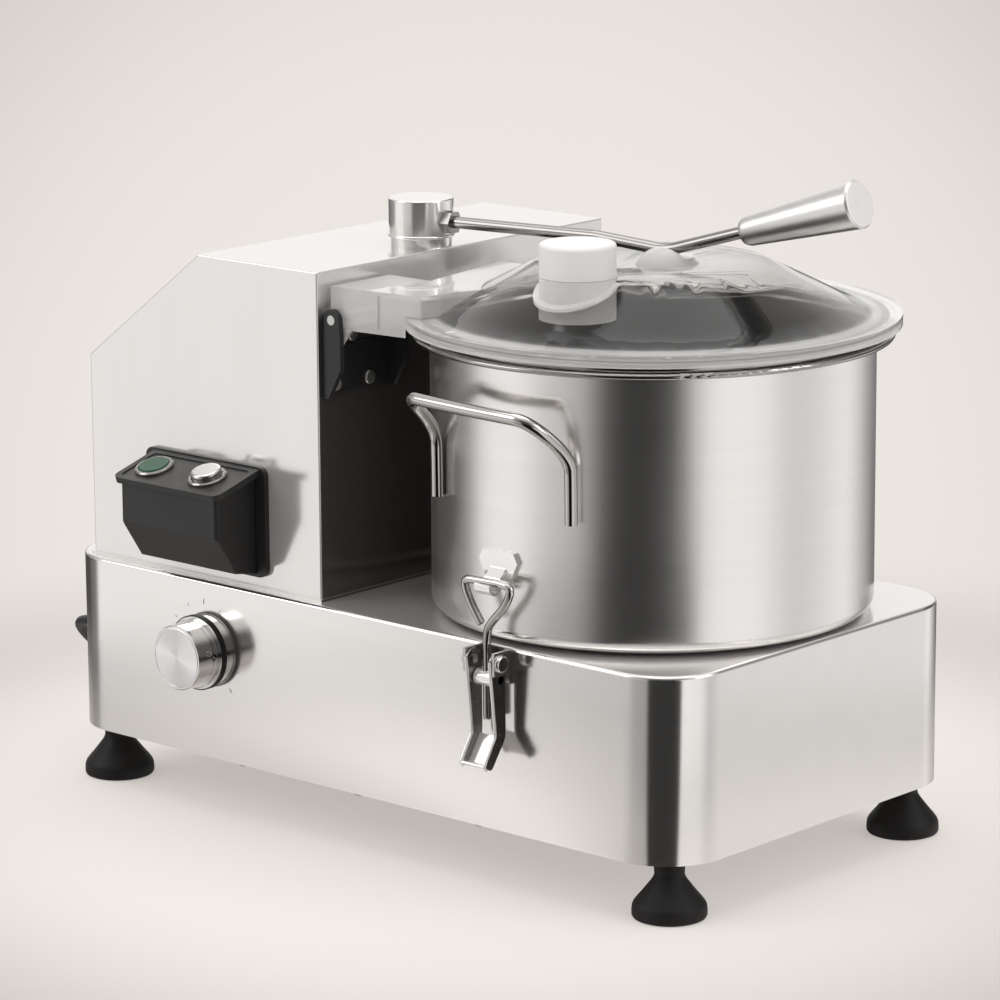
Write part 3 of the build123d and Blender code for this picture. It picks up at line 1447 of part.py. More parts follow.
nodes = {
    "base_shell": [make_base_shell()],
    "bottom_plate": [make_bottom_plate()],
    "rubber_feet": on_the_feet(make_foot()),
    "base_fasteners": on_the_feet(make_foot_bolt()) + make_bottom_screws(),
    "tower_shell": [make_tower_shell()],
    "bowl": [make_bowl()],
    "bowl_rim": [make_bowl_rim()],
    "bowl_seat_ring": [make_seat_ring()],
    "front_handle": [front_handle],
    "rear_handle": [rear(front_handle)],
    "bowl_catches": [front_catch, rear(front_catch)],
    "lid": [make_lid()],
    "lid_arm": [make_lid_arm()],
    "lid_gasket": [make_gasket()],
    "lid_saddle": [make_saddle()],
    "feed_tube": [make_feed_tube()],
    "feed_cap": [make_feed_cap()],
    "hinge_bracket": [make_hinge_bracket()],
    "hinge_fasteners": [make_hinge_pin()] + make_hinge_screws(),
    "lever_hub": [make_lever_hub()],
    "lever_spindle": [make_lever_spindle()],
    "lever_rod": [make_lever_rod()],
    "lever_nut": [make_lever_nut()],
    "lever_grip": [make_lever_grip()],
    "hub_base": [make_hub_base()],
    "control_plate": [make_control_plate()],
    "control_box": [make_control_box()],
    "control_cover": [make_control_cover()],
    "button_bezels": make_bezels(),
    "start_button": [make_button(0, start_height)],
    "stop_button": [make_button(1, stop_height)],
    "switches": make_switch_blocks() + [make_interlock_switch()],
    "speed_knob": [make_knob()],
    "knob_shaft": [make_knob_shaft()],
    "dial_ring": [make_dial_ring()],
    "potentiometer": [make_potentiometer()],
    "latch_brackets": [front_bracket, rear(front_bracket)],
    "latch_rivets": front_rivets + [rear(rivet) for rivet in front_rivets],
    "front_latch_lever": [front_latch_lever],
    "front_latch_rod": [front_latch_rod, front_trunnion],
    "rear_latch_lever": [rear(front_latch_lever)],
    "rear_latch_rod": [rear(front_latch_rod), rear(front_trunnion)],
    "bearing_housing": [make_bearing_housing()],
    "bearings": make_bearings(),
    "spindle": [make_spindle()],
    "driven_pulley": [make_pulley(bowl_x, driven_pulley_radius, shaft_radius)],
    "motor_pulley": [make_pulley(motor_x, motor_pulley_radius, motor_shaft_radius)],
    "drive_belt": [make_belt()],
    "motor": [make_motor()],
    "motor_plate": [make_motor_plate()],
    "motor_shaft": [make_motor_shaft()],
    "blade_hub": [make_blade_hub()],
    "blades": make_blades(),
    "blade_nut": [make_blade_nut()],
    "speed_board": [make_speed_board()],
    "run_capacitor": [make_capacitor()],
    "cable_gland": [make_gland()],
    "mains_cord": [make_cord()],
    "cord_coil": [make_coil()],
    "mains_plug": [make_plug()],
}

os.makedirs("parts", exist_ok=True)
for name, solids in nodes.items():
    group = [solid for piece in solids for solid in piece.solids()]
    shape = group[0] if len(group) == 1 else Compound(children=group)
    shape.label = name
    export_step(shape, f"parts/{name}.step")

route = cord_route()
print("cord bend radii", [round(radius, 1) for radius in route_radii(route)])
print("cord runs", [round((Vector(*b) - Vector(*a)).length, 1) for a, b in zip(route, route[1:])])
whole = bent_rod(route, route_radii(route), cord_radius)
swept = FilletPolyline(*route, radius=route_radii(route)).length * pi * cord_radius ** 2
print("cord volume", round(whole.volume, 1), "against section by length", round(swept, 1))
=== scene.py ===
"""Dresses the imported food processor: its finishes, small fittings, the mains lead and a studio."""

import logging
import math
from collections.abc import Sequence
from dataclasses import dataclass
from enum import Enum

import bmesh
import bpy
from mathutils import Matrix, Vector


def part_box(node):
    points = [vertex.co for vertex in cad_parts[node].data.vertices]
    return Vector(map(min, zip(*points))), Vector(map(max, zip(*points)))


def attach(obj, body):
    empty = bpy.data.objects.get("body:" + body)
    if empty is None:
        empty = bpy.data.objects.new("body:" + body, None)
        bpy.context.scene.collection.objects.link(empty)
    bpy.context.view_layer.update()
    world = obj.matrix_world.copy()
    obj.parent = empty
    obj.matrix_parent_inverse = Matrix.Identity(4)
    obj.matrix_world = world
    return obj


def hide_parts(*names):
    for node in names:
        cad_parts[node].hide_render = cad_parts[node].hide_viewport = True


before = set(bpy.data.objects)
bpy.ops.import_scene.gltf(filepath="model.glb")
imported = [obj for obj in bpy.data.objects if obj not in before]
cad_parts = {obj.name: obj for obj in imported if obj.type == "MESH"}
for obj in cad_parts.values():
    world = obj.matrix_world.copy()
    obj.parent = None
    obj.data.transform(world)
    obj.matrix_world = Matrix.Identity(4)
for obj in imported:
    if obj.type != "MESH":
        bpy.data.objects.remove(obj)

log = logging.getLogger("food_processor")

Colour = tuple[float, float, float]
Point = tuple[float, float, float]

MM = 0.001


class Lie(Enum):
    """The direction in which a metal's brushed grain runs, as stretches along X, Y and Z."""

    ALONG_X = (1.0, 40.0, 40.0)
    ALONG_Y = (40.0, 1.0, 40.0)
    UPRIGHT = (40.0, 40.0, 1.0)
    ROUND = (1.0, 1.0, 40.0)
    EVEN = (6.0, 6.0, 6.0)


class Wiring:
    """Adds nodes to one shader tree and joins them."""

    def __init__(self, tree: bpy.types.NodeTree) -> None:
        """Keeps the tree.

        Args:
            tree: The material's or the group's node tree.
        """
        self.tree = tree

    def add(self, kind: str, **settings: object) -> bpy.types.Node:
        """Adds a node.

        Args:
            kind: The node's type name.
            **settings: Properties to set on it.

        Returns:
            The new node.
        """
        node = self.tree.nodes.new(kind)
        for name, value in settings.items():
            setattr(node, name, value)
        return node

    def join(self, source: object, target: bpy.types.NodeSocket) -> None:
        """Links a socket to an input, or sets the input to a plain value.

        Args:
            source: The socket or the value.
            target: The input that gets it.
        """
        if isinstance(source, bpy.types.NodeSocket):
            self.tree.links.new(source, target)
        else:
            target.default_value = source

    def sum(self, operation: str, *terms: object) -> bpy.types.NodeSocket:
        """Works out one number.

        Args:
            operation: The Math node's operation.
            *terms: Sockets or numbers.

        Returns:
            The result's socket.
        """
        node = self.add("ShaderNodeMath", operation=operation)
        for term, target in zip(terms, node.inputs):
            self.join(term, target)
        return node.outputs[0]

    def span(
        self, value: object, low: float, high: float, to_low: float, to_high: float
    ) -> bpy.types.NodeSocket:
        """Maps a value from one range to another, smoothly and without overshoot.

        Args:
            value: The socket to map.
            low: Start of the range it comes in.
            high: End of the range it comes in.
            to_low: Result at the start.
            to_high: Result at the end.

        Returns:
            The result's socket.
        """
        node = self.add("ShaderNodeMapRange", interpolation_type="SMOOTHSTEP")
        for term, target in zip((value, low, high, to_low, to_high), node.inputs):
            self.join(term, target)
        return node.outputs[0]

    def blend(self, factor: object, first: object, second: object) -> bpy.types.NodeSocket:
        """Mixes two colours.

        Args:
            factor: Share of the second colour.
            first: Socket or colour.
            second: Socket or colour.

        Returns:
            The mixed colour's socket.
        """
        node = self.add("ShaderNodeMix", data_type="RGBA")
        self.join(factor, node.inputs[0])
        for term, target in ((first, node.inputs[6]), (second, node.inputs[7])):
            self.join((*term, 1.0) if isinstance(term, tuple) else term, target)
        return node.outputs[2]

    def bump(self, height: object, strength: float, distance: float) -> bpy.types.NodeSocket:
        """Turns a height into a normal.

        Args:
            height: The height's socket.
            strength: How strongly it shows.
            distance: Depth of the relief in metres.

        Returns:
            The normal's socket.
        """
        node = self.add("ShaderNodeBump")
        node.inputs["Strength"].default_value = strength
        node.inputs["Distance"].default_value = distance
        self.join(height, node.inputs["Height"])
        return node.outputs["Normal"]


class Effects:
    """Node groups that more than one finish uses, each built once."""

    built: dict[str, bpy.types.NodeTree] = {}

    @classmethod
    def _start(
        cls, name: str, inputs: Sequence[tuple[str, str, object]], outputs: Sequence[str]
    ) -> tuple[Wiring, bpy.types.Node, bpy.types.Node]:
        """Makes an empty group.

        Args:
            name: The group's name.
            inputs: Name, socket type and default of each input.
            outputs: Names of the number outputs.

        Returns:
            The wiring, the group's input node and its output node.
        """
        tree = bpy.data.node_groups.new(name, "ShaderNodeTree")
        for label, kind, value in inputs:
            socket = tree.interface.new_socket(label, in_out="INPUT", socket_type=kind)
            socket.default_value = value
        for label in outputs:
            tree.interface.new_socket(label, in_out="OUTPUT", socket_type="NodeSocketFloat")
        cls.built[name] = tree
        wires = Wiring(tree)
        return wires, wires.add("NodeGroupInput"), wires.add("NodeGroupOutput")

    @classmethod
    def _place(cls, wires: Wiring, name: str, values: dict[str, object]) -> bpy.types.Node:
        """Places a built group in a material's tree and sets its inputs.

        Args:
            wires: The material's wiring.
            name: The group's name.
            values: Value of each input.

        Returns:
            The group node.
        """
        node = wires.add("ShaderNodeGroup", node_tree=cls.built[name])
        for label, value in values.items():
            wires.join(value, node.inputs[label])
        return node

    @classmethod
    def grain(cls, wires: Wiring, stretch: Point, scale: float) -> bpy.types.Node:
        """Brushed grain: long fine scratches with broader, softer streaks under them.

        Args:
            wires: The material's wiring.
            stretch: How much finer the grain is along X, Y and Z.
            scale: Base scale of the pattern, per metre.

        Returns:
            The group node, with outputs Scratches and Streaks.
        """
        name = "brushed grain"
        if name not in cls.built:
            inner, start, end = cls._start(
                name,
                [
                    ("Stretch", "NodeSocketVector", (1.0, 1.0, 1.0)),
                    ("Scale", "NodeSocketFloat", 20.0),
                ],
                ["Scratches", "Streaks"],
            )
            place = inner.add("ShaderNodeTexCoord")
            stretched = inner.add("ShaderNodeVectorMath", operation="MULTIPLY")
            inner.join(place.outputs["Object"], stretched.inputs[0])
            inner.join(start.outputs["Stretch"], stretched.inputs[1])
            fine = inner.add("ShaderNodeTexNoise")
            inner.join(stretched.outputs[0], fine.inputs["Vector"])
            inner.join(start.outputs["Scale"], fine.inputs["Scale"])
            fine.inputs["Detail"].default_value = 4.0
            fine.inputs["Roughness"].default_value = 0.7
            inner.join(fine.outputs["Fac"], end.inputs["Scratches"])
            broad = inner.add("ShaderNodeTexNoise")
            inner.join(stretched.outputs[0], broad.inputs["Vector"])
            inner.join(inner.sum("MULTIPLY", start.outputs["Scale"], 0.13), broad.inputs["Scale"])
            broad.inputs["Detail"].default_value = 2.0
            inner.join(broad.outputs["Fac"], end.inputs["Streaks"])
        return cls._place(wires, name, {"Stretch": stretch, "Scale": scale})

    @classmethod
    def smudge(cls, wires: Wiring, scale: float, low: float, high: float) -> bpy.types.Node:
        """Soft cloudy handling marks.

        Args:
            wires: The material's wiring.
            scale: Patches per metre.
            low: Noise level where a mark starts.
            high: Noise level where it is full.

        Returns:
            The group node, with output Mark.
        """
        name = "handling marks"
        if name not in cls.built:
            inner, start, end = cls._start(
                name,
                [
                    ("Scale", "NodeSocketFloat", 9.0),
                    ("Low", "NodeSocketFloat", 0.4),
                    ("High", "NodeSocketFloat", 0.7),
                ],
                ["Mark"],
            )
            place = inner.add("ShaderNodeTexCoord")
            cloud = inner.add("ShaderNodeTexNoise")
            inner.join(place.outputs["Object"], cloud.inputs["Vector"])
            inner.join(start.outputs["Scale"], cloud.inputs["Scale"])
            cloud.inputs["Detail"].default_value = 5.0
            mark = inner.span(
                cloud.outputs["Fac"], start.outputs["Low"], start.outputs["High"], 0.0, 1.0
            )
            inner.join(mark, end.inputs["Mark"])
        return cls._place(wires, name, {"Scale": scale, "Low": low, "High": high})

    @classmethod
    def pebble(cls, wires: Wiring, scale: float) -> bpy.types.Node:
        """The fine pebbled face of moulded plastic and rubber.

        Args:
            wires: The material's wiring.
            scale: Pebbles per metre.

        Returns:
            The group node, with outputs Height and Fleck.
        """
        name = "moulded texture"
        if name not in cls.built:
            inner, start, end = cls._start(
                name, [("Scale", "NodeSocketFloat", 900.0)], ["Height", "Fleck"]
            )
            place = inner.add("ShaderNodeTexCoord")
            cells = inner.add("ShaderNodeTexVoronoi", feature="SMOOTH_F1")
            inner.join(place.outputs["Object"], cells.inputs["Vector"])
            inner.join(start.outputs["Scale"], cells.inputs["Scale"])
            inner.join(cells.outputs["Distance"], end.inputs["Height"])
            fleck = inner.add("ShaderNodeTexNoise")
            inner.join(place.outputs["Object"], fleck.inputs["Vector"])
            inner.join(inner.sum("MULTIPLY", start.outputs["Scale"], 0.6), fleck.inputs["Scale"])
            inner.join(fleck.outputs["Fac"], end.inputs["Fleck"])
        return cls._place(wires, name, {"Scale": scale})

    @classmethod
    def dust(cls, wires: Wiring, amount: float) -> bpy.types.Node:
        """Fine dust that settles on faces turned upwards.

        Args:
            wires: The material's wiring.
            amount: Most that it covers, from 0 to 1.

        Returns:
            The group node, with output Mask.
        """
        name = "settled dust"
        if name not in cls.built:
            inner, start, end = cls._start(
                name, [("Amount", "NodeSocketFloat", 0.2)], ["Mask"]
            )
            facing = inner.add("ShaderNodeNewGeometry")
            split = inner.add("ShaderNodeSeparateXYZ")
            inner.join(facing.outputs["Normal"], split.inputs[0])
            level = inner.span(split.outputs["Z"], 0.3, 1.0, 0.0, 1.0)
            place = inner.add("ShaderNodeTexCoord")
            cloud = inner.add("ShaderNodeTexNoise")
            inner.join(place.outputs["Object"], cloud.inputs["Vector"])
            cloud.inputs["Scale"].default_value = 60.0
            cloud.inputs["Detail"].default_value = 6.0
            patch = inner.span(cloud.outputs["Fac"], 0.35, 0.7, 0.2, 1.0)
            settled = inner.sum("MULTIPLY", level, patch)
            mask = inner.sum("MULTIPLY", settled, start.outputs["Amount"])
            inner.join(mask, end.inputs["Mask"])
        return cls._place(wires, name, {"Amount": amount})


def new_material(name: str) -> tuple[bpy.types.Material, Wiring, bpy.types.Node]:
    """Makes a node material.

    Args:
        name: Its name.

    Returns:
        The material, its wiring and its Principled shader.
    """
    material = bpy.data.materials.new(name)
    material.use_nodes = True
    wires = Wiring(material.node_tree)
    return material, wires, material.node_tree.nodes["Principled BSDF"]


@dataclass(frozen=True)
class Metal:
    """A bare or plated metal with a brushed, turned or polished face."""

    name: str
    colour: Colour
    rough: float
    lie: Lie = Lie.EVEN
    scale: float = 22.0
    streak: float = 0.06
    relief: float = 0.000004
    tint: float = 0.04
    bare: float = 1.0
    turned: str = ""
    stretch: float = 0.0

    def surface(self) -> tuple[bpy.types.Material, Wiring, bpy.types.Node, bpy.types.NodeSocket]:
        """Builds the grain, the wear and the shader.

        Returns:
            The material, its wiring, its shader and the colour before it is joined.
        """
        material, wires, shader = new_material(self.name)
        grain = Effects.grain(wires, self.lie.value, self.scale)
        marks = Effects.smudge(wires, 8.0, 0.45, 0.75)
        dark = tuple(channel * (1.0 - self.tint * 2.0) for channel in self.colour)
        light = tuple(min(1.0, channel * (1.0 + self.tint)) for channel in self.colour)
        colour = wires.blend(grain.outputs["Streaks"], dark, light)
        shader.inputs["Metallic"].default_value = self.bare
        scratches = grain.outputs["Scratches"]
        scratched = wires.sum("MULTIPLY_ADD", scratches, self.streak * 2.0, self.rough)
        worn = wires.sum("MULTIPLY_ADD", marks.outputs["Mark"], self.streak * 0.6, scratched)
        wires.join(wires.sum("SUBTRACT", worn, self.streak), shader.inputs["Roughness"])
        normal = wires.bump(scratches, 0.5, self.relief)
        wires.join(normal, shader.inputs["Normal"])
        if self.turned:
            shader.inputs["Anisotropic"].default_value = self.stretch
            along = wires.add("ShaderNodeTangent", direction_type="RADIAL", axis=self.turned)
            wires.join(along.outputs[0], shader.inputs["Tangent"])
        return material, wires, shader, colour

    def make(self) -> bpy.types.Material:
        """Builds the material.

        Returns:
            The finish's material.
        """
        material, wires, shader, colour = self.surface()
        wires.join(colour, shader.inputs["Base Color"])
        return material


@dataclass(frozen=True)
class Vessel(Metal):
    """A spun metal bowl whose inside is painted dark, as painted shade inside the bowl."""

    painted_shade_inside: Colour = (0.045, 0.043, 0.042)
    axis: tuple[float, float] = (0.125, 0.0)

    def make(self) -> bpy.types.Material:
        """Builds the material.

        Returns:
            The finish's material.
        """
        material, wires, shader, colour = self.surface()
        place = wires.add("ShaderNodeTexCoord")
        shift = wires.add("ShaderNodeVectorMath", operation="SUBTRACT")
        wires.join(place.outputs["Object"], shift.inputs[0])
        shift.inputs[1].default_value = (*self.axis, 0.0)
        flat = wires.add("ShaderNodeVectorMath", operation="MULTIPLY")
        wires.join(shift.outputs[0], flat.inputs[0])
        flat.inputs[1].default_value = (1.0, 1.0, 0.0)
        outward = wires.add("ShaderNodeVectorMath", operation="NORMALIZE")
        wires.join(flat.outputs[0], outward.inputs[0])
        facing = wires.add("ShaderNodeVectorMath", operation="DOT_PRODUCT")
        wires.join(outward.outputs[0], facing.inputs[0])
        wires.join(place.outputs["Normal"], facing.inputs[1])
        # Painted shade: faces turned towards the bowl's axis get the dark inside colour.
        mask = wires.span(facing.outputs["Value"], -0.7, -0.3, 1.0, 0.0)
        wires.join(wires.blend(mask, colour, self.painted_shade_inside), shader.inputs["Base Color"])
        return material


@dataclass(frozen=True)
class Casing(Metal):
    """A folded sheet housing whose wall towards the bowl is painted dark below a given height, a
    painted reflection of the shaded bowl.
    """

    # Painted reflection: the wall that faces the bowl gets this dark colour, standing in for the
    # shaded bowl that it mirrors.
    wall: Colour = (0.12, 0.112, 0.108)
    painted_reflection_below: float = 0.322
    top: float = -1.0

    def make(self) -> bpy.types.Material:
        """Builds the material.

        Returns:
            The finish's material.
        """
        material, wires, shader, colour = self.surface()
        place = wires.add("ShaderNodeTexCoord")
        split = wires.add("ShaderNodeSeparateXYZ")
        wires.join(place.outputs["Normal"], split.inputs[0])
        # Painted reflection: faces turned towards +X, below the given height, are painted the dark
        # wall colour.
        facing = wires.span(split.outputs["X"], 0.9, 0.99, 0.0, 1.0)
        height = wires.add("ShaderNodeSeparateXYZ")
        wires.join(place.outputs["Object"], height.inputs[0])
        low = wires.span(height.outputs["Z"], self.painted_reflection_below, self.painted_reflection_below + 0.018, 1.0, 0.0)
        mask = wires.sum("MULTIPLY", facing, low)
        wires.join(wires.blend(mask, colour, self.wall), shader.inputs["Base Color"])
        if self.top >= 0.0:
            upward = wires.span(split.outputs["Z"], 0.9, 0.99, self.bare, self.top)
            wires.join(upward, shader.inputs["Metallic"])
        return material


@dataclass(frozen=True)
class Moulding:
    """An opaque plastic or rubber with a moulded texture and a little dust."""

    name: str
    colour: Colour
    rough: float
    scale: float = 900.0
    relief: float = 0.00008
    bump: float = 0.25
    dust: float = 0.06
    gloss: float = 0.5

    def make(self) -> bpy.types.Material:
        """Builds the material.

        Returns:
            The finish's material.
        """
        material, wires, shader = new_material(self.name)
        texture = Effects.pebble(wires, self.scale)
        marks = Effects.smudge(wires, 14.0, 0.4, 0.75)
        dust = Effects.dust(wires, self.dust)
        deep = tuple(channel * 0.8 for channel in self.colour)
        body = wires.blend(texture.outputs["Fleck"], deep, self.colour)
        wires.join(
            wires.blend(dust.outputs["Mask"], body, (0.55, 0.53, 0.5)), shader.inputs["Base Color"]
        )
        rough = wires.sum("MULTIPLY_ADD", marks.outputs["Mark"], 0.08, self.rough)
        wires.join(rough, shader.inputs["Roughness"])
        wires.join(
            wires.bump(texture.outputs["Height"], self.bump, self.relief), shader.inputs["Normal"]
        )
        shader.inputs["Specular IOR Level"].default_value = self.gloss
        return material


@dataclass(frozen=True)
class Clear:
    """A see-through moulding, milky where it is thick and pale along its edges."""

    name: str
    colour: Colour
    rough: float
    refraction: float = 1.14
    haze: float = 0.03
    milk: float = 0.0
    edge: float = 0.2
    rim: float = 0.0
    axis: tuple[float, float] = (0.125, 0.0)

    def make(self) -> bpy.types.Material:
        """Builds the material.

        Returns:
            The finish's material.
        """
        material, wires, shader = new_material(self.name)
        marks = Effects.smudge(wires, 30.0, 0.45, 0.8)
        shader.inputs["Base Color"].default_value = (*self.colour, 1.0)
        shader.inputs["IOR"].default_value = self.refraction
        shader.inputs["Coat Weight"].default_value = 0.25
        shader.inputs["Coat Roughness"].default_value = 0.03
        shader.inputs["Coat IOR"].default_value = 1.45
        turned = wires.add("ShaderNodeLayerWeight")
        turned.inputs["Blend"].default_value = 0.5
        pale = wires.sum("POWER", turned.outputs["Facing"], 5.0)
        clear = wires.sum("MULTIPLY_ADD", pale, -self.edge, 1.0 - self.milk)
        if self.rim:
            place = wires.add("ShaderNodeTexCoord")
            shift = wires.add("ShaderNodeVectorMath", operation="SUBTRACT")
            wires.join(place.outputs["Object"], shift.inputs[0])
            shift.inputs[1].default_value = (*self.axis, 0.0)
            flat = wires.add("ShaderNodeVectorMath", operation="MULTIPLY")
            wires.join(shift.outputs[0], flat.inputs[0])
            flat.inputs[1].default_value = (1.0, 1.0, 0.0)
            reach = wires.add("ShaderNodeVectorMath", operation="LENGTH")
            wires.join(flat.outputs[0], reach.inputs[0])
            thick = wires.span(reach.outputs["Value"], 0.129, 0.134, 0.0, self.rim)
            clear = wires.sum("SUBTRACT", clear, thick)
        wires.join(clear, shader.inputs["Transmission Weight"])
        rough = wires.sum("MULTIPLY_ADD", marks.outputs["Mark"], self.haze, self.rough)
        wires.join(rough, shader.inputs["Roughness"])
        return material


@dataclass(frozen=True)
class Board:
    """A circuit board with traces under its lacquer."""

    name: str
    colour: Colour
    trace: Colour

    def make(self) -> bpy.types.Material:
        """Builds the material.

        Returns:
            The finish's material.
        """
        material, wires, shader = new_material(self.name)
        grain = Effects.grain(wires, (1.0, 1.0, 18.0), 60.0)
        lines = wires.span(grain.outputs["Scratches"], 0.52, 0.56, 0.0, 1.0)
        wires.join(wires.blend(lines, self.colour, self.trace), shader.inputs["Base Color"])
        shader.inputs["Roughness"].default_value = 0.35
        return material


STEEL: Colour = (0.87, 0.855, 0.84)

FINISHES = {
    "case": Casing(
        "polished case steel", STEEL, 0.15, Lie.ALONG_X, 12.0, 0.03, 0.0000003, 0.02, 0.975,
        top=0.7, painted_reflection_below=0.0
    ),
    # The tower keeps the painted dark reflection on its wall towards the bowl; the case turns it off
    # with a height of 0.
    "tower": Casing(
        "polished tower steel", (0.83, 0.815, 0.8), 0.14, Lie.UPRIGHT, 12.0, 0.03, 0.0000004,
        0.015, 0.7
    ),
    "bowl": Vessel(
        "spun bowl steel", (0.9, 0.885, 0.87), 0.21, Lie.ROUND, 26.0, 0.02, 0.0000008, 0.02,
        1.0, "Z", 0.78
    ),
    # The rolled lip's dark colour is painted shade: it stands in for the dark gap under the lid's
    # flange.
    "lip": Metal("rolled lip steel darkened as painted shade", (0.42, 0.41, 0.4), 0.12, Lie.EVEN, 24.0, 0.03),
    "satin": Metal("satin steel", (0.6, 0.585, 0.57), 0.24, Lie.EVEN, 30.0, 0.05),
    "bright": Metal("bright plated steel", (0.72, 0.71, 0.7), 0.07, Lie.EVEN, 20.0, 0.02),
    "hub": Metal("polished hub steel", STEEL, 0.14, Lie.EVEN, 20.0, 0.03, 0.000001, 0.02, 0.8),
    "knob": Metal("chromed knob", (0.8, 0.79, 0.78), 0.1, Lie.EVEN, 20.0, 0.02),
    "catch": Metal(
        "polished catch steel", (0.92, 0.91, 0.9), 0.1, Lie.EVEN, 20.0, 0.02, 0.000001, 0.02, 0.6
    ),
    "lever": Metal("dark plated steel", (0.3, 0.29, 0.285), 0.25, Lie.EVEN, 30.0, 0.06),
    "wire": Metal("polished wire steel", (0.56, 0.545, 0.53), 0.11, Lie.EVEN, 30.0, 0.04),
    # The rod steel's dark colour is a painted reflection: it stands in for the dark surroundings
    # that the rods mirror.
    "rod": Metal("satin rod steel", (0.36, 0.345, 0.335), 0.2, Lie.ALONG_X, 20.0, 0.05),
    "grip": Metal("turned grip steel", (0.8, 0.785, 0.77), 0.32, Lie.ROUND, 26.0, 0.08),
    "face": Metal(
        "spun face", (0.86, 0.85, 0.86), 0.3, Lie.EVEN, 30.0, 0.05, 0.000002, 0.02, 1.0, "Y", 0.9
    ),
    "end": Metal(
        "turned end face", (0.9, 0.885, 0.87), 0.4, Lie.EVEN, 30.0, 0.08, 0.000003, 0.02, 0.3
    ),
    "blade": Metal("ground blade steel", (0.76, 0.75, 0.74), 0.14, Lie.ALONG_Y, 24.0, 0.05),
    "cast": Metal("machined aluminium", (0.62, 0.62, 0.61), 0.36, Lie.ROUND, 40.0, 0.1),
    "zinc": Metal("zinc plate", (0.6, 0.6, 0.58), 0.3, Lie.EVEN, 40.0, 0.08),
    "rubber": Moulding(
        "black rubber", (0.009, 0.0082, 0.008), 0.5, 700.0, 0.00006, 0.2, 0.01, 0.25
    ),
    "black": Moulding("black textured plastic", (0.014, 0.013, 0.013), 0.4, 1100.0),
    "grey": Moulding("dark grey textured plastic", (0.02, 0.0195, 0.0195), 0.42, 1300.0),
    "frosted": Clear("frosted white plastic", (0.99, 0.985, 0.975), 0.4, 1.3, 0.06, 0.72, 0.2),
    "clear": Clear("clear plastic", (0.995, 0.993, 0.99), 0.02, 1.16, 0.02, 0.0, 0.2, 0.28),
    "tube": Clear("pale tube plastic", (0.99, 0.985, 0.98), 0.04, 1.2, 0.03, 0.5, 0.4),
    "pale": Clear("pale clear plastic", (0.97, 0.965, 0.96), 0.03, 1.26, 0.03, 0.34, 0.4),
    "ink": Moulding("printed marks", (0.1, 0.096, 0.094), 0.5, 500.0, 0.00001, 0.05, 0.0),
    "green": Moulding("dark green plastic", (0.003, 0.085, 0.03), 0.38, 500.0, 0.00002, 0.1),
    "enamel": Moulding("motor enamel", (0.03, 0.035, 0.045), 0.35, 500.0),
    "lead": Moulding("black lead sheath", (0.018, 0.018, 0.019), 0.42, 500.0, 0.00003, 0.2),
    "board": Board("circuit board lacquer", (0.01, 0.11, 0.045), (0.03, 0.2, 0.08)),
}

WEAR = {
    "base_shell": "case",
    "bottom_plate": "satin",
    "base_fasteners": "zinc",
    "rubber_feet": "rubber",
    "tower_shell": "tower",
    "bowl": "bowl",
    "bowl_rim": "lip",
    "bowl_seat_ring": "rubber",
    "front_handle": "wire",
    "rear_handle": "wire",
    "bowl_catches": "catch",
    "lid": "clear",
    "lid_arm": "pale",
    "lid_gasket": "rubber",
    "lid_saddle": "tube",
    "feed_tube": "tube",
    "feed_cap": "frosted",
    "hinge_bracket": "black",
    "hinge_fasteners": "zinc",
    "lever_hub": "hub",
    "lever_spindle": "satin",
    "lever_rod": "rod",
    "lever_nut": "rod",
    "lever_grip": "grip",
    "hub_base": "hub",
    "control_plate": "black",
    "control_box": "black",
    "control_cover": "grey",
    "button_bezels": "rod",
    "start_button": "green",
    "stop_button": "bright",
    "switches": "black",
    "speed_knob": "knob",
    "knob_shaft": "satin",
    "dial_ring": "bright",
    "potentiometer": "zinc",
    "latch_brackets": "satin",
    "latch_rivets": "bright",
    "front_latch_lever": "lever",
    "rear_latch_lever": "lever",
    "front_latch_rod": "wire",
    "rear_latch_rod": "wire",
    "bearing_housing": "cast",
    "bearings": "bright",
    "spindle": "satin",
    "driven_pulley": "cast",
    "motor_pulley": "cast",
    "drive_belt": "rubber",
    "motor": "enamel",
    "motor_plate": "satin",
    "motor_shaft": "satin",
    "blade_hub": "black",
    "blades": "blade",
    "blade_nut": "black",
    "speed_board": "board",
    "run_capacitor": "cast",
    "cable_gland": "black",
    "mains_cord": "lead",
    "cord_coil": "lead",
    "mains_plug": "lead",
}


ROUNDED = {
    "control_box": 2.2 * MM,
    "control_cover": 0.8 * MM,
    "lid_saddle": 1.2 * MM,
    "bowl_catches": 0.8 * MM,
}


class Wardrobe:
    """Holds each finish's material, made the first time that it is asked for."""

    made: dict[str, bpy.types.Material] = {}

    @classmethod
    def get(cls, finish: str) -> bpy.types.Material:
        """Gives the material of a named finish.

        Args:
            finish: The finish's key.

        Returns:
            Its material.
        """
        if finish not in cls.made:
            cls.made[finish] = FINISHES[finish].make()
        return cls.made[finish]

    @classmethod
    def dress(cls, thing: bpy.types.Object, finish: str) -> None:
        """Gives an object one finish, on all of its material slots.

        Args:
            thing: The mesh or curve object.
            finish: The finish's key.
        """
        if not thing.material_slots:
            thing.data.materials.append(None)
        for place in thing.material_slots:
            place.link = "OBJECT"
            place.material = cls.get(finish)


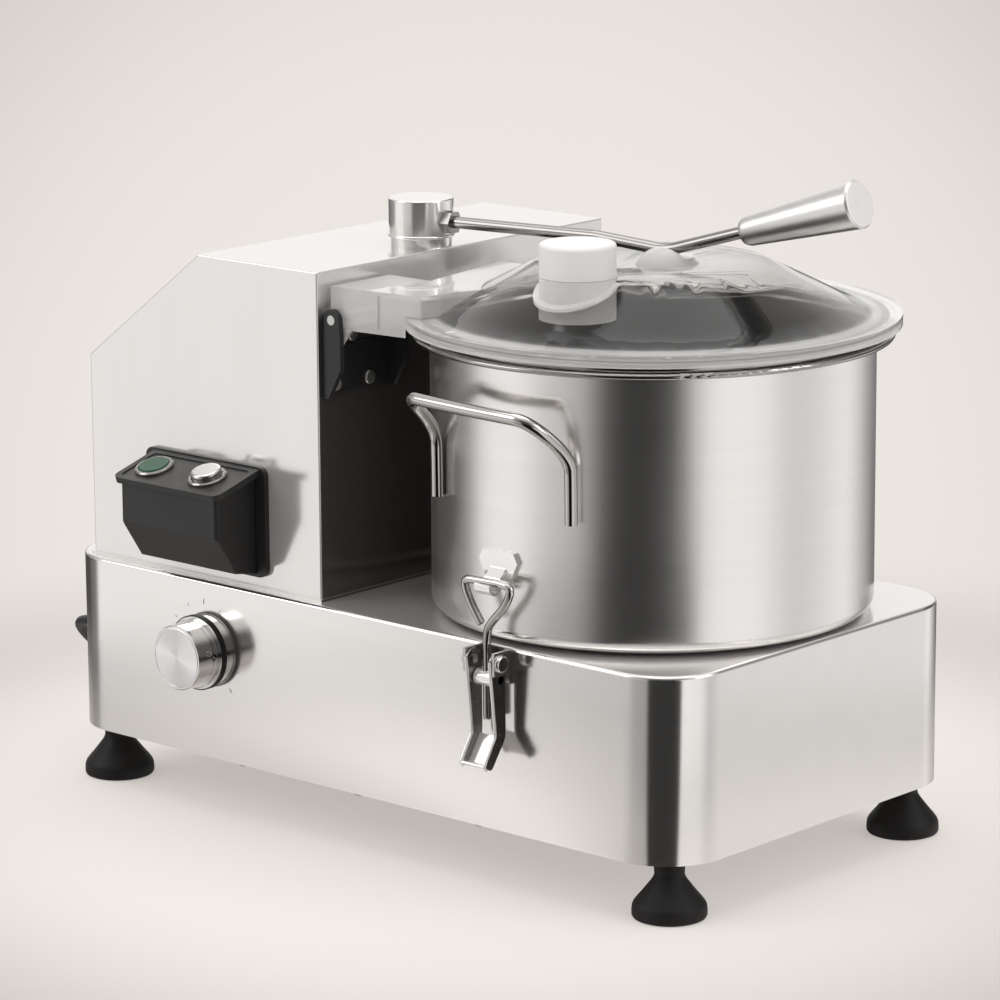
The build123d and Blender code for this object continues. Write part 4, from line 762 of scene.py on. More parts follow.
def smooth(thing: bpy.types.Object, angle: float = 32.0, round_by: float = 0.0) -> None:
    """Shades a mesh smoothly across its facets and leaves its real edges sharp.

    Args:
        thing: The mesh object.
        angle: Sharpest fold, in degrees, that is still smoothed.
        round_by: How far its edges are rounded off, in metres.
    """
    thing.data.shade_smooth()
    weld = thing.modifiers.new("weld", "WELD")
    weld.merge_threshold = 0.000002
    if round_by:
        soften = thing.modifiers.new("round edges", "BEVEL")
        soften.width = round_by
        soften.segments = 3
        soften.limit_method = "ANGLE"
        soften.angle_limit = math.radians(50.0)
        soften.use_clamp_overlap = True
    split = thing.modifiers.new("sharp edges", "EDGE_SPLIT")
    split.split_angle = math.radians(angle)
    thing.modifiers.new("even faces", "WEIGHTED_NORMAL").keep_sharp = True


def mesh_object(name: str, shape: bmesh.types.BMesh, finish: str, body: str) -> bpy.types.Object:
    """Turns a bmesh into a piece that rides on a body.

    Args:
        name: The piece's name.
        shape: The mesh, which is freed.
        finish: Key of its finish.
        body: The body that it rides on.

    Returns:
        The new object.
    """
    data = bpy.data.meshes.new(name)
    shape.to_mesh(data)
    shape.free()
    thing = bpy.data.objects.new(name, data)
    bpy.context.scene.collection.objects.link(thing)
    Wardrobe.dress(thing, finish)
    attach(thing, body)
    return thing


def turned_shape(
    profile: Sequence[tuple[float, float]], base: Point, along: Point, steps: int = 64
) -> bmesh.types.BMesh:
    """Revolves a profile about a line.

    Args:
        profile: Radius and distance along the line, in metres, from one end to the other.
        base: Where the distances start.
        along: The line's direction.
        steps: Facets round the line.

    Returns:
        The closed mesh.
    """
    lean = Vector((0.0, 0.0, 1.0)).rotation_difference(Vector(along)).to_matrix().to_4x4()
    place = Matrix.Translation(base) @ lean
    shape = bmesh.new()
    rings = []
    for radius, height in profile:
        if radius < 1e-7:
            rings.append([shape.verts.new(place @ Vector((0.0, 0.0, height)))])
            continue
        ring = []
        for step in range(steps):
            turn = 2 * math.pi * step / steps
            spot = Vector((radius * math.cos(turn), radius * math.sin(turn), height))
            ring.append(shape.verts.new(place @ spot))
        rings.append(ring)
    for low, high in zip(rings, rings[1:]):
        for step in range(steps):
            other = (step + 1) % steps
            corners = [low[step % len(low)], low[other % len(low)], high[other % len(high)]]
            corners.append(high[step % len(high)])
            distinct = list(dict.fromkeys(corners))
            if len(distinct) > 2:
                shape.faces.new(distinct)
    bmesh.ops.recalc_face_normals(shape, faces=shape.faces)
    return shape


def plate_shape(
    outline: Sequence[tuple[float, float]], low: float, high: float, side: float = 1.0
) -> bmesh.types.BMesh:
    """Cuts a plate that stands across X from its outline.

    Args:
        outline: Corners as Y and Z, in metres.
        low: Where it starts along X.
        high: Where it ends along X.
        side: 1 for the front of the machine and -1 for its mirror image at the rear.

    Returns:
        The closed mesh.
    """
    shape = bmesh.new()
    near = [shape.verts.new((low, y * side, z)) for y, z in outline]
    far = [shape.verts.new((high, y * side, z)) for y, z in outline]
    shape.faces.new(near)
    shape.faces.new(list(reversed(far)))
    for index in range(len(outline)):
        other = (index + 1) % len(outline)
        shape.faces.new([near[index], far[index], far[other], near[other]])
    bmesh.ops.recalc_face_normals(shape, faces=shape.faces)
    return shape


def joined(shapes: Sequence[bmesh.types.BMesh]) -> bmesh.types.BMesh:
    """Puts several meshes into one.

    Args:
        shapes: The meshes, which are freed.

    Returns:
        The mesh that holds them all.
    """
    whole = bmesh.new()
    for shape in shapes:
        part = bpy.data.meshes.new("part")
        shape.to_mesh(part)
        shape.free()
        whole.from_mesh(part)
        bpy.data.meshes.remove(part)
    return whole


def swept_wire(
    name: str, points: Sequence[Point], radius: float, finish: str, body: str, closed: bool = False
) -> bpy.types.Object:
    """Runs a round wire or bead through points.

    Args:
        name: The piece's name.
        points: Corner points, which the wire rounds off a little.
        radius: The wire's radius in metres.
        finish: Key of its finish.
        body: The body that it rides on.
        closed: Whether the wire joins its own start.

    Returns:
        The new curve object.
    """
    curve = bpy.data.curves.new(name, "CURVE")
    curve.dimensions = "3D"
    line = curve.splines.new("NURBS")
    line.points.add(len(points) - 1)
    for place, point in zip(line.points, points):
        place.co = (*point, 1.0)
    line.order_u = 3
    line.use_endpoint_u = not closed
    line.use_cyclic_u = closed
    line.resolution_u = 8
    curve.bevel_depth = radius
    curve.bevel_resolution = 4
    curve.use_fill_caps = True
    wire = bpy.data.objects.new(name, curve)
    bpy.context.scene.collection.objects.link(wire)
    Wardrobe.dress(wire, finish)
    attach(wire, body)
    return wire


@dataclass
class SpeedDial:
    """What the knob carries, its bright face and its rings, and the scale round it."""

    centre: tuple[float, float] = (-0.126, 0.105)
    front: float = -0.1628
    face_radius: float = 18.9 * MM
    band_radius: float = 20.6 * MM
    scale_radius: float = 30.0 * MM
    wall: float = -0.138
    screw_y: float = -0.1535
    screw_turn: float = 12.0
    screw_radius: float = 1.9 * MM
    rings: tuple[tuple[str, float, float, float, str], ...] = (
        ("knob_collar", -0.1463, 3.9 * MM, 1.3 * MM, "bright"),
        ("knob_band", -0.1417, 4.4 * MM, 3.3 * MM, "rubber"),
    )
    ticks_count: int = 11
    first_tick: float = 225.0
    tick_step: float = 27.0

    def face(self) -> None:
        """Lays the spun disc in the knob's rim."""
        x, z = self.centre
        r = self.face_radius
        profile = [(0.0, 0.0), (r, 0.0), (r, 0.00025), (r - 0.0004, 0.0005), (0.0, 0.0005)]
        shape = turned_shape(profile, (x, self.front + 0.0004, z), (0.0, -1.0, 0.0), 96)
        disc = mesh_object("knob_face", shape, "face", "knob")
        smooth(disc)

    def bands(self) -> None:
        """Puts a bright collar, a black band and a set screw round the knob's skirt."""
        x, z = self.centre
        r = self.band_radius
        for name, start, wide, high, finish in self.rings:
            ring = [(r - 0.6 * MM, 0.0), (r + high - 0.3 * MM, 0.0), (r + high, 0.3 * MM)]
            ring += [(r + high, wide - 0.4 * MM), (r + high - 0.4 * MM, wide), (r - 0.6 * MM, wide)]
            ring += [(r - 0.6 * MM, 0.0)]
            shape = turned_shape(ring, (x, start, z), (0.0, -1.0, 0.0), 96)
            smooth(mesh_object(name, shape, finish, "knob"))
        turn = math.radians(self.screw_turn)
        out = Vector((math.cos(turn), 0.0, math.sin(turn)))
        base = Vector((x, self.screw_y, z)) + out * (r - 1.6 * MM)
        wide = self.screw_radius
        cup = [(0.0, 0.0), (wide, 0.0), (wide, 1.9 * MM), (1.2 * MM, 1.9 * MM)]
        cup += [(0.8 * MM, 0.9 * MM), (0.0, 0.9 * MM)]
        shape = turned_shape(cup, tuple(base), tuple(out), 24)
        smooth(mesh_object("knob_set_screw", shape, "bright", "knob"))

    def ticks(self) -> None:
        """Prints the scale's fine marks on the case."""
        shape = bmesh.new()
        for step in range(self.ticks_count):
            angle = math.radians(self.first_tick - self.tick_step * step)
            long = step % 5 == 0
            reach = 3.4 * MM if long else 2.0 * MM
            half = 0.35 * MM if long else 0.22 * MM
            out = Vector((math.cos(angle), 0.0, math.sin(angle)))
            side = Vector((-math.sin(angle), 0.0, math.cos(angle)))
            start = Vector((self.centre[0], self.wall - 0.08 * MM, self.centre[1]))
            start += out * self.scale_radius
            ring = [
                start - side * half,
                start + side * half,
                start + side * half * 0.6 + out * reach,
                start - side * half * 0.6 + out * reach,
            ]
            low = [shape.verts.new(point) for point in ring]
            high = [shape.verts.new(point + Vector((0.0, 0.12 * MM, 0.0))) for point in ring]
            shape.faces.new(low)
            shape.faces.new(list(reversed(high)))
            for index in range(4):
                other = (index + 1) % 4
                shape.faces.new([low[index], high[index], high[other], low[other]])
        bmesh.ops.recalc_face_normals(shape, faces=shape.faces)
        mesh_object("dial_ticks", shape, "ink", "machine")

    def build(self) -> None:
        """Builds the face, the bands and the scale."""
        self.face()
        self.bands()
        self.ticks()
        log.info("speed dial: face, band and scale")


@dataclass
class LeverGrip:
    """The turned end face of the lock lever's grip."""

    turn: float = 5.0
    rise: float = 16.5
    large: float = 14.6 * MM

    def build(self) -> None:
        """Builds the end face."""
        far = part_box("lever_grip")[1]
        yaw, pitch = math.radians(self.turn), math.radians(self.rise)
        along = Vector(
            (math.cos(yaw) * math.cos(pitch), math.sin(yaw) * math.cos(pitch), math.sin(pitch))
        )
        tips = [v.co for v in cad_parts["lever_grip"].data.vertices]
        reach = max(point.dot(along) for point in tips)
        rim = [point for point in tips if point.dot(along) > reach - 0.0001]
        centre = sum(rim, Vector()) / len(rim)
        r = self.large - 1.2 * MM
        profile = [(0.0, -0.0003), (r, -0.0003), (r, 0.0001), (r - 0.0006, 0.0004)]
        profile += [(r * 0.35, 0.00045), (r * 0.33, 0.0003), (0.0, 0.0003)]
        shape = turned_shape(profile, tuple(centre), tuple(along), 72)
        smooth(mesh_object("grip_end", shape, "end", "lock_lever"))
        log.info("lever grip: end face at %.3f m", far.x)


@dataclass
class LatchLever:
    """One latch lever: two dark cheeks with bright rolled edges, a web and a lip at the tip."""

    body: str
    side: float
    x: float = 0.1215
    half: float = 10.0 * MM
    thick: float = 1.5 * MM
    pivot: tuple[float, float] = (-0.1495, 0.143)
    head: float = 6.5 * MM
    edge: float = 1.0 * MM

    def outline(self) -> list[tuple[float, float]]:
        """Gives one cheek's corners, from the front of its head round to its tip.

        Returns:
            The corners as Y and Z, in metres.
        """
        y, z = self.pivot
        turns = [math.radians(180.0 - 15.0 * step) for step in range(13)]
        head = [(y + self.head * math.cos(t), z + self.head * math.sin(t)) for t in turns]
        back = [(-0.1425, 0.136), (-0.1424, 0.1), (-0.1427, 0.0968), (-0.1438, 0.0943)]
        tip = [(-0.1540, 0.0797), (-0.1556, 0.0786), (-0.1600, 0.0804), (-0.1610, 0.0824)]
        front = [(-0.1524, 0.0962), (-0.1514, 0.0985), (-0.1511, 0.101), (-0.1553, 0.139)]
        return head + back + tip + front

    def cheeks(self) -> None:
        """Cuts the two cheeks in the place of the plain lever."""
        plates = []
        for end in (-1.0, 1.0):
            outer, inner = self.x + end * self.half, self.x + end * (self.half - self.thick)
            low, high = sorted((outer, inner))
            plates.append(plate_shape(self.outline(), low, high, self.side))
        cheeks = mesh_object(f"{self.body}_cheeks", joined(plates), "lever", self.body)
        smooth(cheeks, round_by=0.3 * MM)
        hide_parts(f"{self.body.split('_')[0]}_latch_lever")

    def web(self) -> None:
        """Lays the finger plate between the cheeks, from the kink to the tip."""
        low, high = self.x - self.half + self.thick, self.x + self.half - self.thick
        plate = [(-0.1440, 0.0962), (-0.1545, 0.0806), (-0.1558, 0.0796), (-0.1600, 0.0814)]
        plate += [(-0.1594, 0.0826), (-0.1560, 0.0811), (-0.1552, 0.0817), (-0.1451, 0.0969)]
        shape = plate_shape(plate, low, high, self.side)
        web = mesh_object(f"{self.body}_web", shape, "catch", self.body)
        smooth(web, round_by=0.3 * MM)

    def edges(self) -> None:
        """Rolls a bright edge along each cheek's front and across the tip."""
        middle = self.half - self.thick / 2
        for end in (-1.0, 1.0):
            x = self.x + end * middle
            line = [(-0.1557, 0.1445), (-0.1553, 0.139), (-0.1511, 0.101), (-0.1513, 0.0977)]
            line += [(-0.1524, 0.0962), (-0.1610, 0.0824), (-0.1605, 0.0806), (-0.1590, 0.0797)]
            placed = [(x, y * self.side, z) for y, z in line]
            which = "left" if end < 0 else "right"
            swept_wire(f"{self.body}_edge_{which}", placed, self.edge, "catch", self.body)
        lip = [(self.x + step * middle, -0.1606 * self.side, 0.0818) for step in (-1.0, 0.0, 1.0)]
        swept_wire(f"{self.body}_edge_tip", lip, self.edge, "catch", self.body)

    def build(self) -> None:
        """Builds the lever."""
        self.cheeks()
        self.web()
        self.edges()
        log.info("latch lever on %s", self.body)


@dataclass
class LatchWire:
    """One latch rod: an open eye bent from wire, its thread and the trunnion that it runs in."""

    body: str
    side: float
    x: float = 0.1215
    y: float = -0.1465
    trunnion_z: float = 0.132
    radius: float = 2.4 * MM
    thread: tuple[float, float] = (0.1065, 0.147)
    pitch: float = 0.9 * MM

    def eye(self) -> None:
        """Bends the eye in the place of the plain rod."""
        line = [(-1.0, 108.0), (-1.0, 140.0), (-1.0, 160.5), (3.0, 166.5), (9.5, 173.0)]
        line += [(15.0, 179.5)]
        line += [(19.0, 189.6), (8.0, 190.6), (-8.0, 190.0), (-18.5, 189.8), (-17.0, 182.0)]
        line += [(-11.0, 172.0), (-5.2, 164.2)]
        points = [(self.x + dx * MM, self.y * self.side, z * MM) for dx, z in line]
        wire = swept_wire(f"{self.body}_eye", points, self.radius + 0.2 * MM, "wire", self.body)
        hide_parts(f"{self.body.split('_')[0]}_latch_rod")

    def screw(self) -> None:
        """Cuts the thread on the rod's lower part."""
        low, high = self.thread
        core, root, crest = (self.radius + depth * MM for depth in (-0.5, -0.2, 0.12))
        profile = [(0.0, low), (core, low)]
        for turn in range(int((high - low) / self.pitch)):
            at = low + turn * self.pitch
            for radius, share in ((root, 0.1), (crest, 0.5), (root, 0.9)):
                profile.append((radius, at + share * self.pitch))
        profile += [(core, high), (0.0, high)]
        place = (self.x - 1.0 * MM, self.y * self.side, 0.0)
        shape = turned_shape(profile, place, (0.0, 0.0, 1.0), 32)
        smooth(mesh_object(f"{self.body}_thread", shape, "satin", self.body), 20.0)

    def trunnion(self) -> None:
        """Turns the cross pin between the cheeks."""
        half = [(0.0, -10.0), (2.4, -10.0), (2.4, -8.1), (4.6, -8.1), (5.0, -7.7), (5.0, 7.7)]
        half += [(4.6, 8.1), (2.4, 8.1), (2.4, 10.0), (0.0, 10.0)]
        profile = [(radius * MM, at * MM) for radius, at in half]
        place = (self.x, self.y * self.side, self.trunnion_z)
        shape = turned_shape(profile, place, (1.0, 0.0, 0.0), 40)
        smooth(mesh_object(f"{self.body}_trunnion", shape, "catch", self.body))

    def build(self) -> None:
        """Builds the eye, its thread and the trunnion."""
        self.eye()
        self.screw()
        self.trunnion()
        log.info("latch wire on %s", self.body)


@dataclass
class BowlHandle:
    """One bent-rod handle, whose legs stand on the bowl's wall."""

    name: str
    side: float
    axis: float = 0.125
    turn: float = -93.7
    radius: float = 4.0 * MM

    def build(self) -> None:
        """Bends the rod in the place of the plain handle."""
        turn = math.radians(self.turn)
        out = (math.cos(turn), math.sin(turn))
        along = (-math.sin(turn), math.cos(turn))
        line = [(-56.1, 127.4, 229.5), (-56.1, 127.4, 252.0), (-56.1, 128.0, 271.0)]
        line += [(-50.5, 157.5, 295.2), (-31.0, 158.0, 294.8), (0.0, 158.0, 294.5)]
        line += [(31.0, 158.0, 294.5), (51.0, 156.5, 294.2), (56.1, 128.0, 270.0)]
        line += [(56.1, 127.4, 252.0), (56.1, 127.4, 229.5)]
        points = []
        for across, reach, z in line:
            x = self.axis + (along[0] * across + out[0] * reach) * MM
            y = (along[1] * across + out[1] * reach) * MM
            points.append((x, y * self.side, z * MM))
        rod = swept_wire(f"{self.name}_rod", points, self.radius, "wire", "machine")
        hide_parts(self.name)
        log.info("%s: bent rod", self.name)


@dataclass
class BellFeet:
    """Four bell-shaped rubber feet, open below for the bolts' heads."""

    places: tuple[float, float] = (0.233, 0.113)
    outer: tuple[tuple[float, float], ...] = (
        (9.5, 36.0),
        (9.0, 26.5),
        (9.5, 24.6),
        (11.0, 22.2),
        (13.6, 18.8),
        (16.6, 15.0),
        (19.8, 11.2),
        (21.3, 9.2),
        (22.1, 7.4),
        (22.4, 5.0),
        (22.4, 1.8),
        (21.6, 0.5),
        (20.4, 0.0),
    )
    inner: tuple[tuple[float, float], ...] = (
        (7.0, 0.0),
        (7.0, 10.0),
        (6.3, 10.0),
        (6.3, 13.0),
        (3.0, 13.0),
        (3.0, 36.0),
        (9.5, 36.0),
    )

    def build(self) -> None:
        """Turns the four bells in the place of the plain feet."""
        profile = [(radius * MM, z * MM) for radius, z in self.outer + self.inner]
        bells = []
        for x in (-self.places[0], self.places[0]):
            for y in (-self.places[1], self.places[1]):
                bells.append(turned_shape(profile, (x, y, 0.0), (0.0, 0.0, 1.0), 56))
        feet = mesh_object("bell_feet", joined(bells), "rubber", "machine")
        smooth(feet, 40.0)
        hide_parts("rubber_feet")
        log.info("bell feet: %d", len(bells))


@dataclass
class LeadBoot:
    """The ribbed, tapered strain relief where the lead leaves the base."""

    wall: float = -0.258
    tip: float = -0.287
    y: float = -0.085
    z: float = 0.088
    cord: float = 3.6 * MM
    ribs: int = 5

    def build(self) -> None:
        """Builds the boot in the place of the plain gland."""
        long = self.wall - self.tip
        profile = [(self.cord, -0.002), (9.6 * MM, -0.002), (9.6 * MM, 0.0035), (8.6 * MM, 0.0042)]
        profile += [(8.0 * MM, 0.0055)]
        step = (long - 0.0055) / (self.ribs + 0.5)
        for rib in range(self.ribs):
            at = 0.0055 + step * rib
            taper = 8.0 * MM - 2.6 * MM * (rib + 0.5) / self.ribs
            profile += [
                (taper - 0.9 * MM, at + step * 0.15),
                (taper - 0.9 * MM, at + step * 0.4),
                (taper, at + step * 0.55),
                (taper - 0.15 * MM, at + step * 0.95),
            ]
        profile += [(5.0 * MM, long - 0.001), (4.6 * MM, long), (self.cord, long)]
        profile += [(self.cord, -0.002)]
        shape = turned_shape(profile, (self.wall, self.y, self.z), (-1.0, 0.0, 0.0), 48)
        boot = mesh_object("lead_boot", shape, "rubber", "machine")
        smooth(boot, 40.0)
        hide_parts("cable_gland")
        log.info("lead boot: %d ribs over %.0f mm", self.ribs, long * 1000)


@dataclass
class CoilTie:
    """The soft strap that holds the coiled lead together."""

    centre: tuple[float, float] = (-0.104, 0.206)
    angle: float = 200.0
    inner: float = 30.6 * MM
    outer: float = 47.2 * MM
    top: float = 22.2 * MM
    width: float = 8.0 * MM
    strap: float = 0.9 * MM

    def build(self) -> None:
        """Builds the strap as a flat closed band round the bundle."""
        turn = math.radians(self.angle)
        out = Vector((math.cos(turn), math.sin(turn), 0.0))
        side = Vector((-math.sin(turn), math.cos(turn), 0.0))
        middle = (self.inner + self.outer) / 2
        half = (self.outer - self.inner) / 2
        tall = self.top / 2
        shape = bmesh.new()
        rings = []
        for step in range(32):
            angle = 2 * math.pi * step / 32
            c, s = math.cos(angle), math.sin(angle)
            squarish = (abs(c) ** 3.2 + abs(s) ** 3.2) ** (-1 / 3.2)
            at = out * (middle + half * c * squarish)
            at += Vector((self.centre[0], self.centre[1], tall + tall * s * squarish))
            normal = (out * c + Vector((0.0, 0.0, s))).normalized()
            ring = []
            for across, thick in ((-0.5, 0.0), (0.5, 0.0), (0.5, 1.0), (-0.5, 1.0)):
                corner = at + side * self.width * across - normal * self.strap * thick
                ring.append(shape.verts.new(corner))
            rings.append(ring)
        for low, high in zip(rings, rings[1:] + rings[:1]):
            for index in range(4):
                other = (index + 1) % 4
                shape.faces.new([low[index], low[other], high[other], high[index]])
        bmesh.ops.recalc_face_normals(shape, faces=shape.faces)
        strap = mesh_object("coil_tie", shape, "rubber", "machine")
        soften = strap.modifiers.new("round edges", "BEVEL")
        soften.width = 0.25 * MM
        soften.segments = 2
        smooth(strap, 50.0)
        log.info("coil tie: %.0f mm wide", self.width * 1000)


@dataclass
class MainsLead:
    """The lead, from its gland to the plug, with the spare length in a tied coil."""

    diameter: float = 7.0 * MM
    exit: Point = (-0.287, -0.085, 0.088)
    coil_centre: tuple[float, float] = (-0.104, 0.206)
    outer: float = 42.5 * MM
    inner: float = 35.4 * MM
    layer: float = 7.15 * MM
    turns: int = 5
    steps: int = 16

    def route(self) -> list[Point]:
        """Lays out the way from the gland to the coil, as the solid model has it.

        Returns:
            The curve's control points, in metres.
        """
        x, y, z = self.exit
        floor = 3.6 * MM
        offsets = [
            (0.0, 0.0, z),
            (-18.0, 3.0, z - 3 * MM),
            (-27.0, 22.0, z - 20 * MM),
            (-24.0, 52.0, z - 46 * MM),
            (-18.0, 90.0, z - 72 * MM),
            (-14.0, 135.0, floor),
            (-12.0, 185.0, floor),
            (2.0, 238.0, floor),
            (31.0, 282.0, floor),
            (75.0, 317.0, floor),
        ]
        points = [(x + dx * MM, y + dy * MM, height) for dx, dy, height in offsets]
        return points + [(self.coil_centre[0] - 59 * MM, self.coil_centre[1] + self.outer, floor)]

    def coil(self) -> list[Point]:
        """Lays out the turns, clockwise from the coil's far side.

        Returns:
            The curve's control points, in metres.
        """
        swell = 1.0 / math.cos(math.pi / self.steps)
        points = []
        for step in range(2, self.turns * self.steps + 1):
            lap = step / self.steps
            inward = self._ease(lap, 0.70, 0.92) - self._ease(lap, 2.70, 2.92)
            raised = self._ease(lap, 1.70, 1.92) + self._ease(lap, 3.35, 3.6)
            radius = (self.outer + (self.inner - self.outer) * inward) * swell
            angle = math.pi / 2 - lap * 2 * math.pi
            points.append(
                (
                    self.coil_centre[0] + radius * math.cos(angle),
                    self.coil_centre[1] + radius * math.sin(angle),
                    3.6 * MM + self.layer * raised,
                )
            )
        return points

    @staticmethod
    def _ease(value: float, low: float, high: float) -> float:
        """Rises smoothly from 0 to 1.

        Args:
            value: Where it is read.
            low: Where it starts to rise.
            high: Where it reaches 1.

        Returns:
            The share that has risen.
        """
        share = min(1.0, max(0.0, (value - low) / (high - low)))
        return share * share * (3.0 - 2.0 * share)

    def tail(self) -> list[Point]:
        """Lays out the way from the coil to the plug.

        Returns:
            The curve's control points, in metres.
        """
        x, y = self.coil_centre
        far = y + self.outer
        steps = ((22, 16), (44, 11), (59, 10))
        return [(x + along * MM, far, height * MM) for along, height in steps]

    def build(self) -> None:
        """Builds the lead in the place of the plain cord and its coil."""
        points = self.route() + self.coil() + self.tail()
        curve = bpy.data.curves.new("mains_lead", "CURVE")
        curve.dimensions = "3D"
        line = curve.splines.new("NURBS")
        line.points.add(len(points) - 1)
        for place, point in zip(line.points, points):
            place.co = (*point, 1.0)
        line.order_u = 3
        line.use_endpoint_u = True
        line.resolution_u = 6
        curve.bevel_depth = self.diameter / 2
        curve.bevel_resolution = 5
        curve.use_fill_caps = True
        lead = bpy.data.objects.new("mains_lead", curve)
        bpy.context.scene.collection.objects.link(lead)
        Wardrobe.dress(lead, "lead")
        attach(lead, "machine")
        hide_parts("mains_cord", "cord_coil")
        log.info("mains lead: %d route and coil points", len(points))


@dataclass
class Studio:
    """The camera, the pale floor and the soft lights."""

    pale: Colour = (0.842, 0.797, 0.758)
    # Painted vignette shade: the backdrop darkens to this colour away from the direction of view.
    painted_vignette_colour: Colour = (0.59, 0.556, 0.531)
    # The table top runs from this colour in the middle to a darker one towards its rim: a painted
    # pool of light with painted shade round it.
    top: Colour = (0.93, 0.885, 0.845)
    painted_shade_table_edge: Colour = (0.4, 0.38, 0.365)
    ambient: Colour = (0.8, 0.785, 0.77)
    flag_corner: tuple[float, float] = (0.241, -0.13)
    flag_range: tuple[float, float] = (-84.0, -26.0)
    flag_haze: float = 0.36
    flag_end: float = 0.3
    flag_reach: tuple[float, float] = (0.07, 0.8)
    haze_range: tuple[float, float] = (-152.0, -128.0)
    end_range: tuple[float, float] = (-174.0, -152.0)
    overhead: Colour = (0.9, 0.88, 0.86)
    overhead_range: tuple[float, float] = (0.45, 0.8)
    ahead: Point = (-0.652, 0.725, -0.2215)
    painted_vignette_range: tuple[float, float] = (0.982, 0.998)
    table_radius: float = 1.6
    painted_shade_table_span: tuple[float, float] = (0.25, 0.6)
    table_rim: tuple[float, float] = (0.4, 0.75)
    lamps: tuple[tuple[str, Point, tuple[float, float], float], ...] = (
        ("overhead_box", (-0.2, 0.1, 2.3), (2.2, 2.2), 21.0),
        ("front_box", (-1.6, -2.0, 1.6), (1.4, 1.4), 14.0),
        ("side_box", (2.4, 0.6, 1.3), (1.2, 1.4), 11.0),
    )
    low_bands: tuple[tuple[float, float], ...] = (
        (0.0, 0.1),
        (0.06, 0.2),
        (0.09, 0.93),
        (0.165, 0.96),
        (0.2, 0.62),
        (0.262, 0.52),
        (0.288, 0.0),
        (0.405, 0.0),
        (0.43, 0.98),
        (0.52, 0.92),
        (0.57, 0.6),
        (0.62, 0.72),
        (0.69, 0.97),
        (0.755, 0.35),
        (0.81, 0.06),
        (0.97, 0.05),
    )
    high_bands: tuple[tuple[float, float], ...] = (
        (0.0, 0.3),
        (0.1, 0.75),
        (0.2, 0.5),
        (0.3, 0.1),
        (0.4, 0.1),
        (0.5, 0.7),
        (0.62, 0.6),
        (0.67, 0.1),
        (0.77, 0.1),
        (0.81, 0.97),
        (0.93, 0.97),
        (0.98, 0.3),
    )
    target: Point = (0.0, 0.0, 0.19643)
    distance: float = 2.8999
    azimuth: float = 41.946
    elevation: float = 12.779
    roll: float = 0.371
    lens: float = 166.38

    def camera(self) -> None:
        """Creates the camera at the photograph's viewing angle."""
        turn, lift, tip = (math.radians(a) for a in (self.azimuth, self.elevation, self.roll))
        back = Vector(
            (math.sin(turn) * math.cos(lift), -math.cos(turn) * math.cos(lift), math.sin(lift))
        )
        side = Vector((math.cos(turn), math.sin(turn), 0.0))
        up = back.cross(side)
        right = side * math.cos(tip) - up * math.sin(tip)
        top = up * math.cos(tip) + side * math.sin(tip)
        data = bpy.data.cameras.new("camera")
        data.sensor_width = 36.0
        data.lens = self.lens
        data.clip_end = 50.0
        camera = bpy.data.objects.new("camera", data)
        pose = Matrix((right, top, back)).transposed().to_4x4()
        pose.translation = Vector(self.target) + back * self.distance
        camera.matrix_world = pose
        bpy.context.scene.collection.objects.link(camera)
        bpy.context.scene.camera = camera

    def floor(self) -> None:
        """Lays a pale round table top, painted darker towards its rim as a painted pool of light,
        that fades into the background at its rim.
        """
        shape = bmesh.new()
        bmesh.ops.create_circle(shape, cap_ends=True, radius=self.table_radius, segments=96)
        data = bpy.data.meshes.new("table_top")
        shape.to_mesh(data)
        shape.free()
        floor = bpy.data.objects.new("table_top", data)
        floor.location = (0.0, 0.0, -0.0002)
        bpy.context.scene.collection.objects.link(floor)
        material, wires, shader = new_material("pale table top with painted vignette")
        shader.inputs["Roughness"].default_value = 0.9
        shader.inputs["Specular IOR Level"].default_value = 0.1
        place = wires.add("ShaderNodeTexCoord")
        reach = wires.add("ShaderNodeVectorMath", operation="LENGTH")
        wires.join(place.outputs["Object"], reach.inputs[0])
        # Painted shade: the colour darkens with distance from the middle.
        edge = wires.span(reach.outputs["Value"], *self.painted_shade_table_span, 0.0, 1.0)
        wires.join(wires.blend(edge, self.top, self.painted_shade_table_edge), shader.inputs["Base Color"])
        rim = wires.span(reach.outputs["Value"], *self.table_rim, 0.5, 0.0)
        wires.join(rim, shader.inputs["Alpha"])
        data.materials.append(material)

